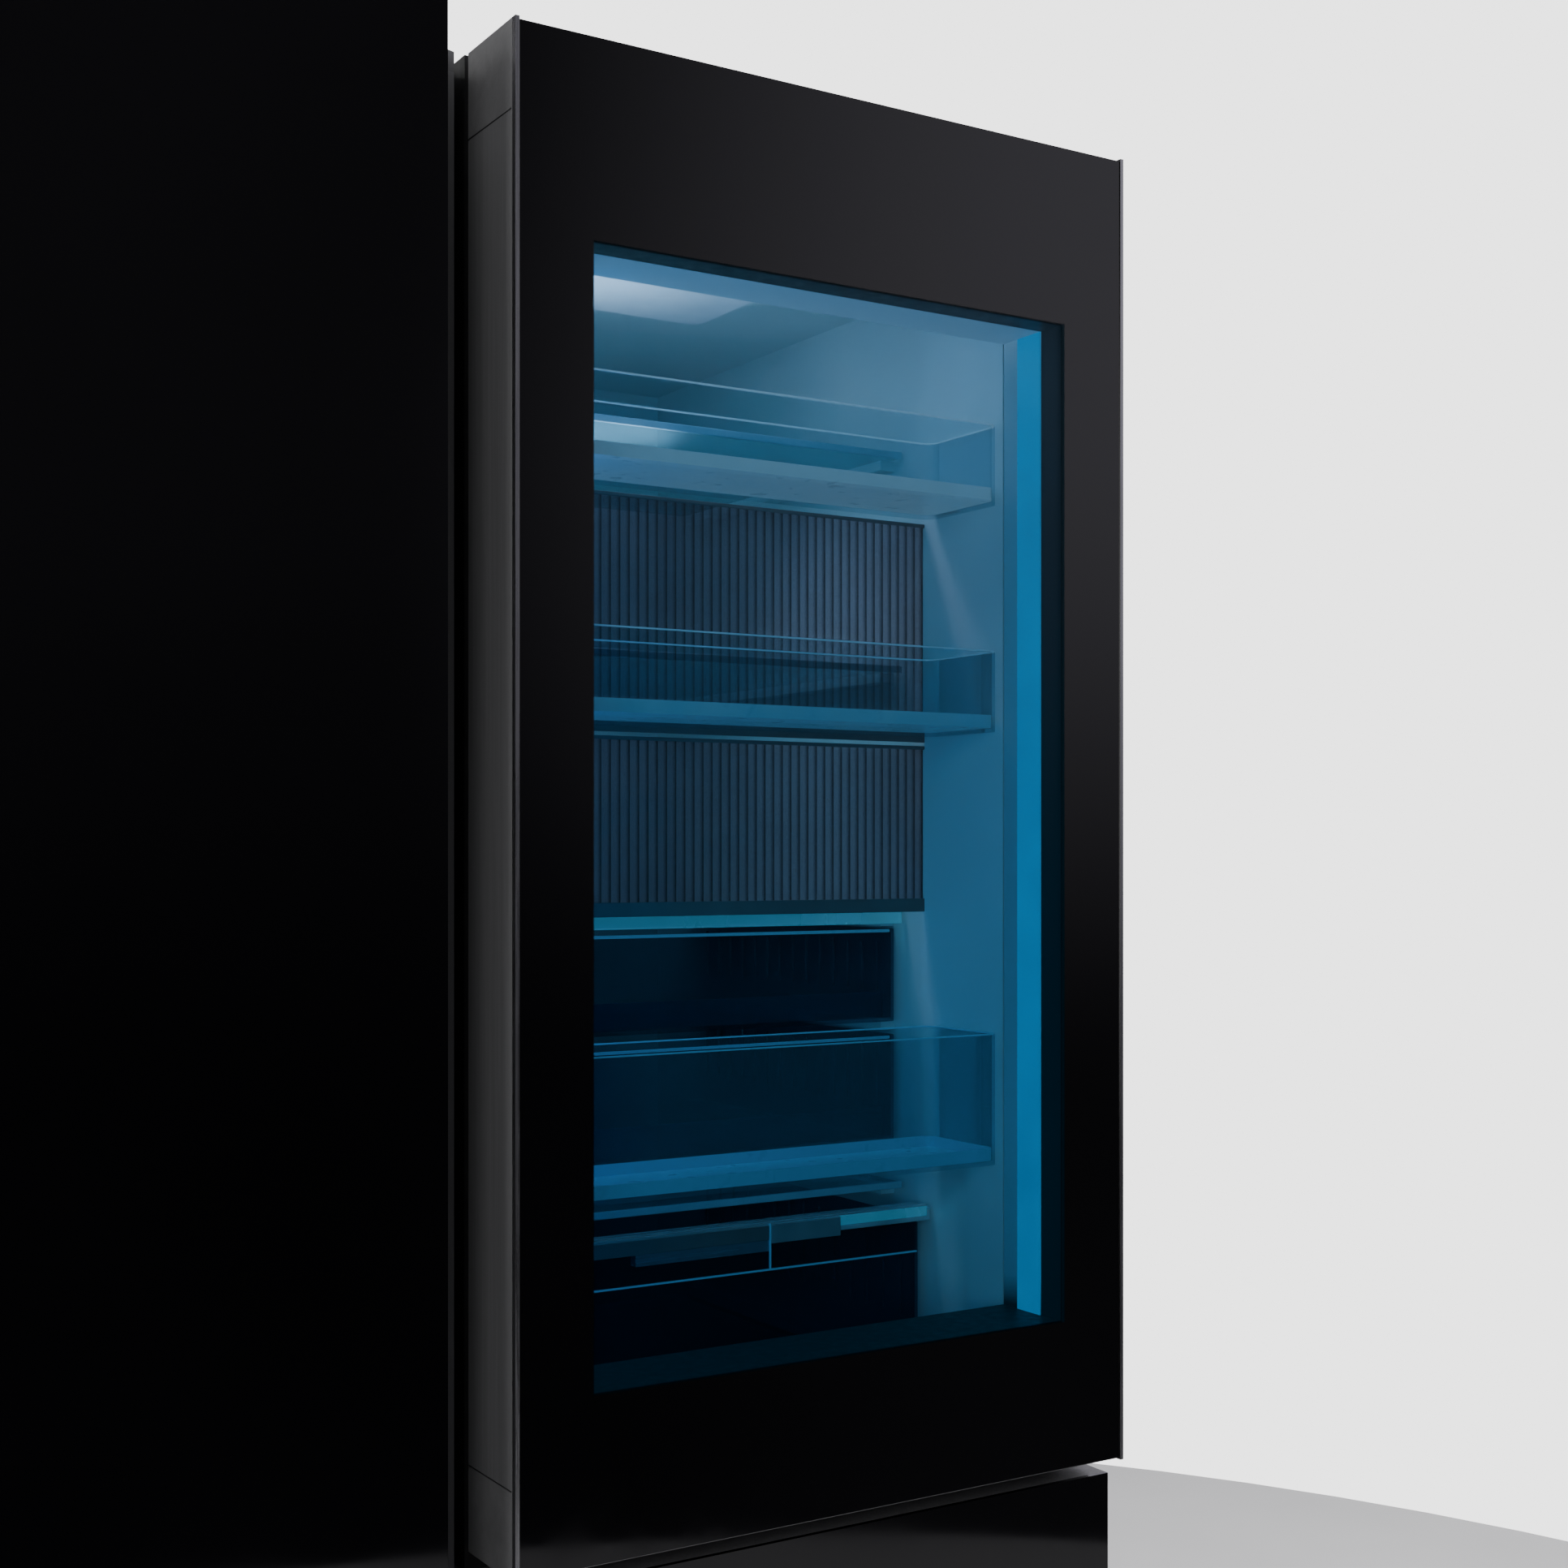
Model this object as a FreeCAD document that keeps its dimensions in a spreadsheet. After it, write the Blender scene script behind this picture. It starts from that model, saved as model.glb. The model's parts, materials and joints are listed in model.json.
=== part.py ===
import FreeCAD, Part
import math
import os
import re
import Sketcher

# Side by side refrigerator with a glass-fronted door-in-door, in millimetres.
# +X points right as seen from the front, +Y to the back and +Z up. The origin is on the floor,
# under the middle of the outline. Depths with "depth" in their name are counted backwards from
# the front plane of the doors, other places are coordinates.

DIMENSIONS = {
    # outline
    "overall_width": 912,
    "overall_depth": 735,
    "overall_height": 1790,
    # cabinet
    "cabinet_depth": 128,
    "cabinet_top": 1753,
    "cabinet_bottom": 25,
    "sheet_metal": 1.2,
    "flange_width": 38,
    "base_thickness": 2,
    "pressed_margin": 60,
    "foam_bottom": 60,
    "machine_front": 120,
    "machine_top": 227,
    # cavities
    "fridge_left": -30,
    "fridge_right": 416,
    "freezer_left": -416,
    "freezer_right": -90,
    "cavity_bottom": 112,
    "cavity_top": 1688,
    "cavity_back": 308,
    "step_front": 100,
    "step_top": 270,
    "liner_wall": 2,
    "ledge_width": 14,
    "ledge_height": 8,
    "ledge_front_depth": 250,
    "ledge_back": 225,
    "mullion_thickness": 3,
    # shelf tops, from the ceiling down
    "fridge_shelf_1": 1556,
    "fridge_shelf_2": 1373,
    "fridge_shelf_3": 1163,
    "fridge_shelf_4": 932,
    "fridge_shelf_5": 772,
    "fridge_shelf_6": 560,
    "fridge_shelf_7": 340,
    "freezer_shelf_1": 1556,
    "freezer_shelf_2": 1360,
    "freezer_shelf_3": 1163,
    "freezer_shelf_4": 966,
    "freezer_shelf_5": 772,
    "freezer_shelf_6": 560,
    "freezer_shelf_7": 340,
    # inner fittings
    "shelf_glass": 4,
    "shelf_front_depth": 235,
    "shelf_side_gap": 4,
    "shelf_back": 228,
    "duct_thickness": 12,
    "duct_side_gap": 90,
    "duct_bottom": 560,
    "duct_top": 1640,
    "duct_slot_inset": 70,
    "duct_slot_rise": 60,
    "duct_slot_height": 10,
    "duct_slot_span": 940,
    "freezer_slot_inset": 60,
    "freezer_slot_bottom": 330,
    "freezer_slot_height": 12,
    "freezer_slot_span": 1300,
    "freezer_duct_front": 235,
    "freezer_duct_thickness": 8,
    "lens_length": 190,
    "lens_width": 120,
    "lens_thickness": 10,
    "lens_radius": 12,
    # drawers
    "drawer_wall": 2.5,
    "drawer_floor": 3,
    "drawer_radius": 14,
    "drawer_side_gap": 4,
    "drawer_back": 222,
    "short_drawer_back": 90,
    "drawer_lift": 0.5,
    "chiller_bottom": 1070,
    "chiller_top": 1149,
    "deli_bottom": 968,
    "deli_top": 1058,
    "vegetable_bottom": 781,
    "vegetable_top": 906,
    "vegetable_depth": 200,
    "crisper_upper_bottom": 352,
    "crisper_upper_top": 545,
    "crisper_lower_bottom": 124,
    "crisper_lower_top": 326,
    "crisper_depth": 235,
    "trim_height": 12,
    "trim_depth": 8,
    "grip_width": 120,
    "grip_drop": 10,
    # doors
    "door_top": 1750,
    "door_bottom": 60,
    "fridge_door_left": -56,
    "freezer_door_right": -102,
    "freezer_lip_right": -64,
    "lip_front_depth": 80,
    "lip_slope": 12,
    "door_skin": 2,
    "door_cap": 14,
    "inner_door_depth": 81,
    "door_liner_depth": 113,
    "gasket_depth": 120,
    "gasket_width": 14,
    "gasket_inset": 8,
    "gasket_hinge_inset": 24,
    "gasket_opening_inset": 6,
    "liner_inset": 2,
    "liner_seam": 0.5,
    "outer_door_back_depth": 75,
    "outer_door_top": 1749,
    "outer_cap": 58,
    "grip_gap_top": 746,
    "grip_gap_bottom": 731,
    "lower_setback": 18,
    "glass_thickness": 4,
    "edge_trim": 3,
    "glass_inset": 0.8,
    "glass_edge": 2,
    # window in the outer door
    "window_left": -0.2,
    "window_right": 398.4,
    "window_bottom": 858.4,
    "window_top": 1614.5,
    "window_liner": 3,
    "inner_pane_depth": 25,
    "seal_reach": 18,
    "seal_width": 12,
    # storage case in the fridge door, behind the outer door
    "case_left": -7,
    "case_right": 405,
    "case_bottom": 790,
    "case_top": 1684,
    "case_wall": 3,
    "case_depth": 190,
    "case_low_depth": 126,
    "case_step": 957,
    "flute_pane": 3,
    "upper_pane_bottom": 1313,
    "upper_pane_top": 1488,
    "lower_pane_bottom": 1172,
    "lower_pane_top": 1303,
    "upper_bin_bottom": 1490,
    "upper_bin_top": 1552,
    "middle_bin_bottom": 1310,
    "middle_bin_top": 1373,
    "lower_bin_bottom": 967,
    "lower_bin_top": 1070,
    "bin_front_depth": 83,
    "bin_back_depth": 177,
    "bin_wall": 2.5,
    "bin_floor": 3,
    "bin_radius": 12,
    "low_bin_inset": 20,
    "low_bin_bottom": 590,
    "low_bin_top": 700,
    "low_bin_depth": 205,
    # bins on the freezer door
    "ridge_width": 14,
    "ridge_depth": 165,
    "ridge_inset": 36,
    "ridge_bottom": 580,
    "ridge_top_gap": 20,
    "freezer_bin_1": 1570,
    "freezer_bin_2": 1375,
    "freezer_bin_3": 1180,
    "freezer_bin_4": 985,
    "freezer_bin_5": 790,
    "freezer_bin_6": 600,
    "freezer_bin_depth": 200,
    "freezer_bin_height": 95,
    # hinges
    "hinge_x": 440,
    "hinge_depth": 95,
    "outer_hinge_depth": 45,
    "pin_radius": 5,
    "pin_play": 0.08,
    "pin_reach": 22,
    "bore_spare": 2,
    "bracket_thickness": 4,
    "bracket_width": 22,
    "cover_wall": 2.5,
    "cover_width": 66,
    "cover_length": 150,
    "outer_bracket_thickness": 2,
    "tongue_front": 12,
    "tongue_side": 12,
    "upper_tongue_reach": 40,
    "upper_root_side": 12,
    "tongue_root": 5,
    "lower_tongue_reach": 20,
    "plate_front": 14,
    "plate_back": 70,
    "plate_drop": 4,
    "cover_front": 22,
    "cover_inset": 2,
    "cover_radius": 10,
    "cover_front_top": 1766,
    "cover_slope": 78,
    # grille, machine room cover and mains inlet
    "grille_half_width": 395,
    "grille_bottom": 30,
    "grille_top": 52,
    "grille_thickness": 8,
    "grille_slot_start": 370,
    "grille_slot_length": 20,
    "grille_slot_margin": 5,
    "cover_gap": 1,
    "cover_slot_start": 400,
    "cover_slot_width": 10,
    "cover_slot_bottom": 60,
    "cover_slot_top": 195,
    "cover_slot_span": 660,
    "inlet_left": 340,
    "inlet_right": 380,
    "inlet_bottom": 100,
    "inlet_top": 136,
    "inlet_length": 30,
    "inlet_wall": 5,
    "inlet_recess": 22,
    "blade_offset": 8,
    "blade_low": 14,
    "blade_high": 21,
    "blade_half_width": 1,
    "blade_half_height": 3,
    "blade_start": 26,
    "blade_end": 6,
    # machine room, feet and rollers
    "fin_margin": 6,
    "fin_thickness": 1,
    "tube_radius": 4,
    "condenser_left": -150,
    "condenser_right": 110,
    "condenser_front": 180,
    "condenser_back": 300,
    "condenser_bottom": 45,
    "condenser_top": 195,
    "condenser_fan_x": 160,
    "condenser_fan_y": 240,
    "condenser_fan_z": 118,
    "condenser_fan_length": 22,
    "evaporator_side_gap": 18,
    "evaporator_front": 250,
    "evaporator_back": 300,
    "evaporator_bottom": 300,
    "evaporator_top": 560,
    "evaporator_fan_y": 262,
    "evaporator_fan_z": 700,
    "evaporator_fan_length": 18,
    "compressor_foot": 12,
    "compressor_foot_half": 50,
    "compressor_foot_height": 6,
    "compressor_radius": 72,
    "compressor_height": 150,
    "compressor_x": -290,
    "compressor_y": 235,
    "fan_hub": 22,
    "fan_radius": 62,
    "blade_thickness": 2,
    "foot_radius": 20,
    "foot_x": 400,
    "foot_y": -195,
    "foot_height": 12,
    "stud_radius": 6,
    "roller_radius": 11,
    "roller_width": 18,
    "ear_offset": 2.5,
    "ear_thickness": 2,
    "ear_length": 18,
    "ear_drop": 7,
    "roller_x": 400,
    "roller_y": 330,
    "axle_radius": 4,
    "axle_play": 0.08,
}

SIDE = "(overall_width / 2)"
BACK = "(overall_depth / 2)"
FRONT = "(-overall_depth / 2)"
CABINET_FRONT = "(cabinet_depth - overall_depth / 2)"
RAIL_TOP = "(cavity_bottom - liner_wall)"
FAN_TILT = 32

doc = FreeCAD.newDocument("refrigerator")
nodes = []


def fill_sheet():
    """Write every driving dimension into the sheet, one row each, under its own name."""
    sheet = doc.addObject("Spreadsheet::Sheet", "dim")
    for row, (alias, number) in enumerate(DIMENSIONS.items(), start=1):
        sheet.set(f"A{row}", alias.replace("_", " "))
        sheet.set(f"B{row}", str(number))
        sheet.setAlias(f"B{row}", alias)
    doc.recompute()


def formula(text):
    """Turn the names of dimensions in a formula into references to the sheet's cells."""
    return re.sub(
        r"[a-z][a-z_0-9]*",
        lambda word: "dim." + word.group() if word.group() in DIMENSIONS else word.group(),
        str(text),
    )


def bind(thing, prop, text):
    """Drive a property of an object with a formula."""
    thing.setExpression(prop, formula(text))


def depth(text):
    """The y coordinate of a depth behind the front plane."""
    return f"({FRONT} + {text})"


def node(name, thing):
    """Give a finished sub-part its own name."""
    thing.Label = name
    nodes.append(thing)
    return thing


def move_to(thing, x, y, z):
    """Drive an object's position."""
    for axis, value in zip("xyz", (x, y, z)):
        bind(thing, f".Placement.Base.{axis}", value)


def box(name, x, y, z):
    """A block between a low and a high value along each axis."""
    block = doc.addObject("Part::Box", name)
    move_to(block, x[0], y[0], z[0])
    for side, (low, high) in zip(("Length", "Width", "Height"), (x, y, z)):
        bind(block, side, f"({high}) - ({low})")
    return block


TURN_FROM_Z = {
    "X": FreeCAD.Rotation(FreeCAD.Vector(0, 1, 0), 90),
    "Y": FreeCAD.Rotation(FreeCAD.Vector(1, 0, 0), -90),
    "Z": FreeCAD.Rotation(),
}


def rod(name, axis, start, length, radius):
    """A round bar along an axis, from its start point."""
    bar = doc.addObject("Part::Cylinder", name)
    bar.Placement = FreeCAD.Placement(FreeCAD.Vector(), TURN_FROM_Z[axis])
    move_to(bar, *start)
    bind(bar, "Height", length)
    bind(bar, "Radius", radius)
    return bar


def fuse(name, *things):
    """All the things as one object; those that don't touch stay separate solids."""
    joined = doc.addObject("Part::MultiFuse", name)
    joined.Shapes = list(things)
    joined.Refine = True
    return joined


def cut(name, base, *tools):
    """The base without the tools."""
    result = doc.addObject("Part::Cut", name)
    result.Base = base
    result.Tool = tools[0] if len(tools) == 1 else fuse(name + "_tools", *tools)
    result.Refine = True
    return result


def sketch(body, name, plane, points, offset):
    """A closed outline whose corners are driven by formulas, on one of a body's own planes."""
    drawing = body.newObject("Sketcher::SketchObject", name)
    origin_plane = next(f for f in body.Origin.OriginFeatures if f.Role == plane + "_Plane")
    drawing.AttachmentSupport = [(origin_plane, "")]
    drawing.MapMode = "FlatFace"
    bind(drawing, "AttachmentOffset.Base.z", offset)
    count = len(points)
    spread = [2 * math.pi * i / count for i in range(count)]
    loose = [FreeCAD.Vector(100 * math.cos(a), 100 * math.sin(a), 0) for a in spread]
    for i in range(count):
        drawing.addGeometry(Part.LineSegment(loose[i], loose[(i + 1) % count]), False)
    for i in range(count):
        drawing.addConstraint(Sketcher.Constraint("Coincident", i, 2, (i + 1) % count, 1))
    for i, corner in enumerate(points):
        for kind, value in zip(("DistanceX", "DistanceY"), corner):
            made = drawing.addConstraint(Sketcher.Constraint(kind, -1, 1, i, 1, 1.0))
            bind(drawing, f"Constraints[{made}]", value)
    return drawing


def pad(name, plane, points, span):
    """A body made by extruding an outline between two coordinates along its plane's normal."""
    body = doc.addObject("PartDesign::Body", name)
    low, high = span
    start = f"-({high})" if plane == "XZ" else low
    feature = body.newObject("PartDesign::Pad", name + "_pad")
    drawing = sketch(body, name + "_outline", plane, points, start)
    feature.Profile = drawing
    bind(feature, "Length", f"({high}) - ({low})")
    body.Tip = feature
    return body


def pocket(body, name, plane, points, span):
    """Cut an outline out of a body between two coordinates along its plane's normal."""
    low, high = span
    start = f"-({low})" if plane == "XZ" else high
    drawing = sketch(body, name + "_outline", plane, points, start)
    feature = body.newObject("PartDesign::Pocket", name)
    feature.Profile = drawing
    bind(feature, "Length", f"({high}) - ({low})")
    return feature


def pattern(body, name, feature, axis, length, count):
    """Repeat a feature along its own sketch's axis, over a length."""
    repeat = body.newObject("PartDesign::LinearPattern", name)
    repeat.Originals = [feature]
    repeat.Direction = (feature.Profile[0], [axis])
    bind(repeat, "Length", length)
    repeat.Occurrences = count
    body.Tip = repeat
    return repeat


def rectangle(u, v):
    """The corners of a rectangle between two values each way."""
    return [(u[0], v[0]), (u[1], v[0]), (u[1], v[1]), (u[0], v[1])]


def round_uprights(body, name, radius, inner=False):
    """Round the upright edges of a body: those from its underside up, or those above its floor."""
    doc.recompute()
    last = body.Tip
    underside = last.Shape.BoundBox.ZMin
    names = []
    for number, edge in enumerate(last.Shape.Edges, start=1):
        span = edge.BoundBox
        upright = max(span.XLength, span.YLength) < 0.01
        if upright and (span.ZMin > underside + 1) == inner:
            names.append(f"Edge{number}")
    rounded = body.newObject("PartDesign::Fillet", name)
    rounded.Base = (last, names)
    bind(rounded, "Radius", radius)
    body.Tip = rounded


def tray(name, x, y, z, wall, floor, radius):
    """An open-topped bin or drawer with rounded upright corners."""
    body = pad(name, "XY", rectangle(x, y), z)
    inside_x = (f"{x[0]} + {wall}", f"{x[1]} - {wall}")
    inside_y = (f"{y[0]} + {wall}", f"{y[1]} - {wall}")
    hollow = pocket(
        body, name + "_hollow", "XY", rectangle(inside_x, inside_y), (f"{z[0]} + {floor}", z[1])
    )
    body.Tip = hollow
    round_uprights(body, name + "_inner_corners", f"{radius} - {wall}", inner=True)
    round_uprights(body, name + "_corners", radius)
    return body


def ring(name, outer_x, outer_z, inner_x, inner_z, y):
    """A flat rectangular frame standing in the XZ plane."""
    body = pad(name, "XZ", rectangle(outer_x, outer_z), y)
    hole = pocket(body, name + "_hole", "XZ", rectangle(inner_x, inner_z), y)
    body.Tip = hole
    return body


def border(pair, width):
    """A pair of limits moved inwards by a width."""
    return (f"{pair[0]} + {width}", f"{pair[1]} - {width}")


# ---------------------------------------------------------------- cabinet


def side_panels():
    """Folded sheet-steel sides, each with a flange that the door gaskets close against."""
    y = (CABINET_FRONT, f"{BACK} - sheet_metal")
    z = ("cabinet_bottom", "cabinet_top")
    left = [
        (f"-{SIDE}", y[0]),
        (f"-{SIDE} + flange_width", y[0]),
        (f"-{SIDE} + flange_width", f"{y[0]} + sheet_metal"),
        (f"-{SIDE} + sheet_metal", f"{y[0]} + sheet_metal"),
        (f"-{SIDE} + sheet_metal", y[1]),
        (f"-{SIDE}", y[1]),
    ]
    right = [(f"-({u})", v) for u, v in left]
    panels = fuse(
        "side_panel_pair", pad("panel_left", "XY", left, z), pad("panel_right", "XY", right, z)
    )
    node("cabinet_side_panels", panels)


def top_panel():
    """The folded top sheet, with a flange down the front."""
    outline = [
        (CABINET_FRONT, "cavity_top + liner_wall"),
        (f"{CABINET_FRONT} + sheet_metal", "cavity_top + liner_wall"),
        (f"{CABINET_FRONT} + sheet_metal", "cabinet_top - sheet_metal"),
        (f"{BACK} - sheet_metal", "cabinet_top - sheet_metal"),
        (f"{BACK} - sheet_metal", "cabinet_top"),
        (CABINET_FRONT, "cabinet_top"),
    ]
    inside = f"{SIDE} - flange_width"
    sheet = pad("top_sheet", "YZ", outline, (f"-({inside})", inside))
    flat = [
        box(
            f"top_edge_{number}",
            span,
            (f"{CABINET_FRONT} + sheet_metal", f"{BACK} - sheet_metal"),
            ("cabinet_top - sheet_metal", "cabinet_top"),
        )
        for number, span in enumerate(
            [
                (f"-{SIDE} + sheet_metal", f"-({inside})"),
                (inside, f"{SIDE} - sheet_metal"),
            ]
        )
    ]
    node("cabinet_top_panel", fuse("top_panel", sheet, *flat))


def back_panel():
    """The flat steel back above the machine room, with a pressed field."""
    y = (f"{BACK} - sheet_metal", BACK)
    body = pad("back_sheet", "XZ", rectangle((f"-{SIDE}", SIDE), ("machine_top", "cabinet_top")), y)
    field = rectangle(border((f"-{SIDE}", SIDE), "pressed_margin"),
                      border(("machine_top", "cabinet_top"), "pressed_margin"))
    body.Tip = pocket(body, "pressed_field", "XZ", field, (f"{BACK} - sheet_metal / 2", BACK))
    node("cabinet_back_panel", body)


def base():
    """The base plate with its front rail, roller ears and roller axles."""
    inside = (f"-{SIDE} + sheet_metal", f"{SIDE} - sheet_metal")
    plate_top = "cabinet_bottom + base_thickness"
    rail_side = f"{SIDE} - flange_width"
    pieces = [
        box("base_plate", inside, (f"{CABINET_FRONT} + sheet_metal", f"{BACK} - sheet_metal"),
            ("cabinet_bottom", plate_top)),
        box("front_rail", (f"-({rail_side})", rail_side),
            (CABINET_FRONT, f"{CABINET_FRONT} + sheet_metal"), ("cabinet_bottom", RAIL_TOP)),
    ]
    for side, sign in (("left", "-1"), ("right", "1")):
        middle = f"{sign} * roller_x"
        for end, shift in (("inner", "-1"), ("outer", "1")):
            face = f"{middle} + {shift} * (roller_width / 2 + ear_offset)"
            pieces.append(
                box(f"ear_{side}_{end}",
                    (f"{face} - ear_thickness / 2", f"{face} + ear_thickness / 2"),
                    ("roller_y - ear_length / 2", "roller_y + ear_length / 2"),
                    ("roller_radius - ear_drop", "cabinet_bottom"))
            )
        start = (f"{middle} - roller_width / 2 - ear_offset", "roller_y", "roller_radius")
        pieces.append(rod(f"axle_{side}", "X", start, "roller_width + 2 * ear_offset",
                          "axle_radius"))
    node("cabinet_base", fuse("base", *pieces))


def rollers():
    """The two transport rollers at the back, free on their axles."""
    wheels = []
    for side, sign in (("left", "-1"), ("right", "1")):
        start = (f"{sign} * roller_x - roller_width / 2", "roller_y", "roller_radius")
        tyre = rod(f"roller_{side}", "X", start, "roller_width", "roller_radius")
        hole = rod(f"roller_hole_{side}", "X", start, "roller_width", "axle_radius + axle_play")
        wheels.append(cut(f"wheel_{side}", tyre, hole))
    node("rear_rollers", fuse("rollers", *wheels))


def feet():
    """The two levelling feet at the front, each a disc on a stud."""
    pieces = []
    for side, sign in (("left", "-1"), ("right", "1")):
        where = (f"{sign} * foot_x", "foot_y")
        disc = rod(f"foot_{side}", "Z", (*where, 0), "foot_height", "foot_radius")
        stud = rod(f"stud_{side}", "Z", (*where, "foot_height"), "cabinet_bottom - foot_height",
                   "stud_radius")
        pieces.append(fuse(f"foot_and_stud_{side}", disc, stud))
    node("leveling_feet", fuse("feet", *pieces))


def cavity_outline(grow, front):
    """A cavity's side view: a tall room with a step over the machine room at its lower back."""
    return [
        (front, f"cavity_bottom - {grow}"),
        (f"step_front + {grow}", f"cavity_bottom - {grow}"),
        (f"step_front + {grow}", f"step_top - {grow}"),
        (f"cavity_back + {grow}", f"step_top - {grow}"),
        (f"cavity_back + {grow}", f"cavity_top + {grow}"),
        (front, f"cavity_top + {grow}"),
    ]


def liner(name, left, right, ledge_levels):
    """A moulded cavity liner with ledges that carry the shelves and drawers."""
    outer = pad(f"{name}_outside", "YZ", cavity_outline("liner_wall", CABINET_FRONT),
                (f"{left} - liner_wall", f"{right} + liner_wall"))
    inner = pad(f"{name}_inside", "YZ", cavity_outline("0", f"{CABINET_FRONT} - 5"), (left, right))
    shell = cut(f"{name}_shell", outer, inner)
    ledges = []
    for number, (level, back) in enumerate(ledge_levels):
        for side, span in (
            ("left", (left, f"{left} + ledge_width")),
            ("right", (f"{right} - ledge_width", right)),
        ):
            ledges.append(
                box(f"{name}_ledge_{side}_{number}", span, (depth("ledge_front_depth"), back),
                    (f"{level} - ledge_height", level))
            )
    node(name, fuse(name + "_moulding", shell, *ledges))


FRIDGE_SHELVES = [f"fridge_shelf_{number}" for number in range(1, 8)]
FREEZER_SHELVES = [f"freezer_shelf_{number}" for number in range(1, 8)]
FRIDGE_RESTS = ("chiller_bottom", "deli_bottom", "vegetable_bottom", "crisper_upper_bottom")
DRAWER_REST = " - drawer_lift"


def liners():
    """Both liners, with a ledge under every shelf and drawer."""
    shelf_rests = [(f"{top} - shelf_glass", "ledge_back") for top in FRIDGE_SHELVES[:-1]]
    drawer_rests = [(level + DRAWER_REST, "ledge_back") for level in FRIDGE_RESTS]
    low_rests = [
        (f"{FRIDGE_SHELVES[-1]} - shelf_glass", "ledge_back"),
        ("crisper_lower_bottom" + DRAWER_REST, "short_drawer_back"),
    ]
    liner("fridge_liner", "fridge_left", "fridge_right", shelf_rests + drawer_rests + low_rests)
    freezer_rests = [(f"{top} - shelf_glass", "ledge_back") for top in FREEZER_SHELVES]
    freezer_rests.append(("crisper_upper_bottom" + DRAWER_REST, "ledge_back"))
    freezer_rests.append(("crisper_lower_bottom" + DRAWER_REST, "short_drawer_back"))
    liner("freezer_liner", "freezer_left", "freezer_right", freezer_rests)


def insulation():
    """The foam between the liners and the outer sheets, open over the machine room."""
    front = f"{CABINET_FRONT} + mullion_thickness"
    outline = [
        (front, "foam_bottom"),
        ("machine_front", "foam_bottom"),
        ("machine_front", "machine_top"),
        (f"{BACK} - sheet_metal", "machine_top"),
        (f"{BACK} - sheet_metal", "cabinet_top - sheet_metal"),
        (front, "cabinet_top - sheet_metal"),
    ]
    block = pad("foam_block", "YZ", outline, (f"-{SIDE} + sheet_metal", f"{SIDE} - sheet_metal"))
    rooms = []
    for room, left, right in (
        ("fridge", "fridge_left", "fridge_right"),
        ("freezer", "freezer_left", "freezer_right"),
    ):
        span = (f"{left} - liner_wall", f"{right} + liner_wall")
        outside = cavity_outline("liner_wall", f"{CABINET_FRONT} - 5")
        rooms.append(pad(f"{room}_room", "YZ", outside, span))
    node("cabinet_insulation", cut("foam", block, *rooms))


def mullion_cover():
    """The strip on the front of the wall between the two rooms."""
    node(
        "mullion_cover",
        box("mullion", ("freezer_right + liner_wall", "fridge_left - liner_wall"),
            (CABINET_FRONT, f"{CABINET_FRONT} + mullion_thickness"),
            (RAIL_TOP, "cavity_top + liner_wall")),
    )


def kick_grille():
    """The slotted plinth grille between the lower hinges."""
    y = (f"{CABINET_FRONT} - grille_thickness", CABINET_FRONT)
    z = ("grille_bottom", "grille_top")
    bar = rectangle(("0 - grille_half_width", "grille_half_width"), z)
    body = pad("grille_bar", "XZ", bar, y)
    first = ("0 - grille_slot_start", "grille_slot_length - grille_slot_start")
    outline = rectangle(first, border(z, "grille_slot_margin"))
    slot = pocket(body, "grille_slot", "XZ", outline, y)
    span = "2 * grille_slot_start - grille_slot_length"
    pattern(body, "grille_slots", slot, "H_Axis", span, 25)
    node("kick_grille", body)


INLET_X = ("inlet_left", "inlet_right")
INLET_Z = ("inlet_bottom", "inlet_top")


def machine_cover():
    """The slotted sheet that closes the machine room at the back, open round the inlet."""
    y = (f"{BACK} - sheet_metal", BACK)
    body = pad("cover_sheet", "XZ",
               rectangle((f"-{SIDE} + sheet_metal", f"{SIDE} - sheet_metal"),
                         ("cabinet_bottom + base_thickness", "machine_top - cover_gap")), y)
    outline = rectangle(("0 - cover_slot_start", "cover_slot_width - cover_slot_start"),
                        ("cover_slot_bottom", "cover_slot_top"))
    slot = pocket(body, "cover_slot", "XZ", outline, y)
    pattern(body, "cover_slots", slot, "H_Axis", "cover_slot_span", 31)
    body.Tip = pocket(body, "inlet_hole", "XZ", rectangle(INLET_X, INLET_Z), y)
    node("machine_cover", body)


def power_inlet():
    """The recessed mains inlet housing with its three blades."""
    housing = box("inlet_block", INLET_X, (f"{BACK} - inlet_length", BACK), INLET_Z)
    recess = box("inlet_recess", border(INLET_X, "inlet_wall"), (f"{BACK} - inlet_recess", BACK),
                 border(INLET_Z, "inlet_wall"))
    middle = "(inlet_left + inlet_right) / 2"
    blades = []
    for number, (shift, rise) in enumerate(
        (("- blade_offset", "blade_low"), ("", "blade_high"), ("+ blade_offset", "blade_low"))
    ):
        x = f"{middle} {shift}"
        z = f"inlet_bottom + {rise}"
        blades.append(
            box(f"inlet_blade_{number}", (f"{x} - blade_half_width", f"{x} + blade_half_width"),
                (f"{BACK} - blade_start", f"{BACK} - blade_end"),
                (f"{z} - blade_half_height", f"{z} + blade_half_height"))
        )
    node("power_inlet", fuse("inlet", cut("inlet_socket", housing, recess), *blades))


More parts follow.
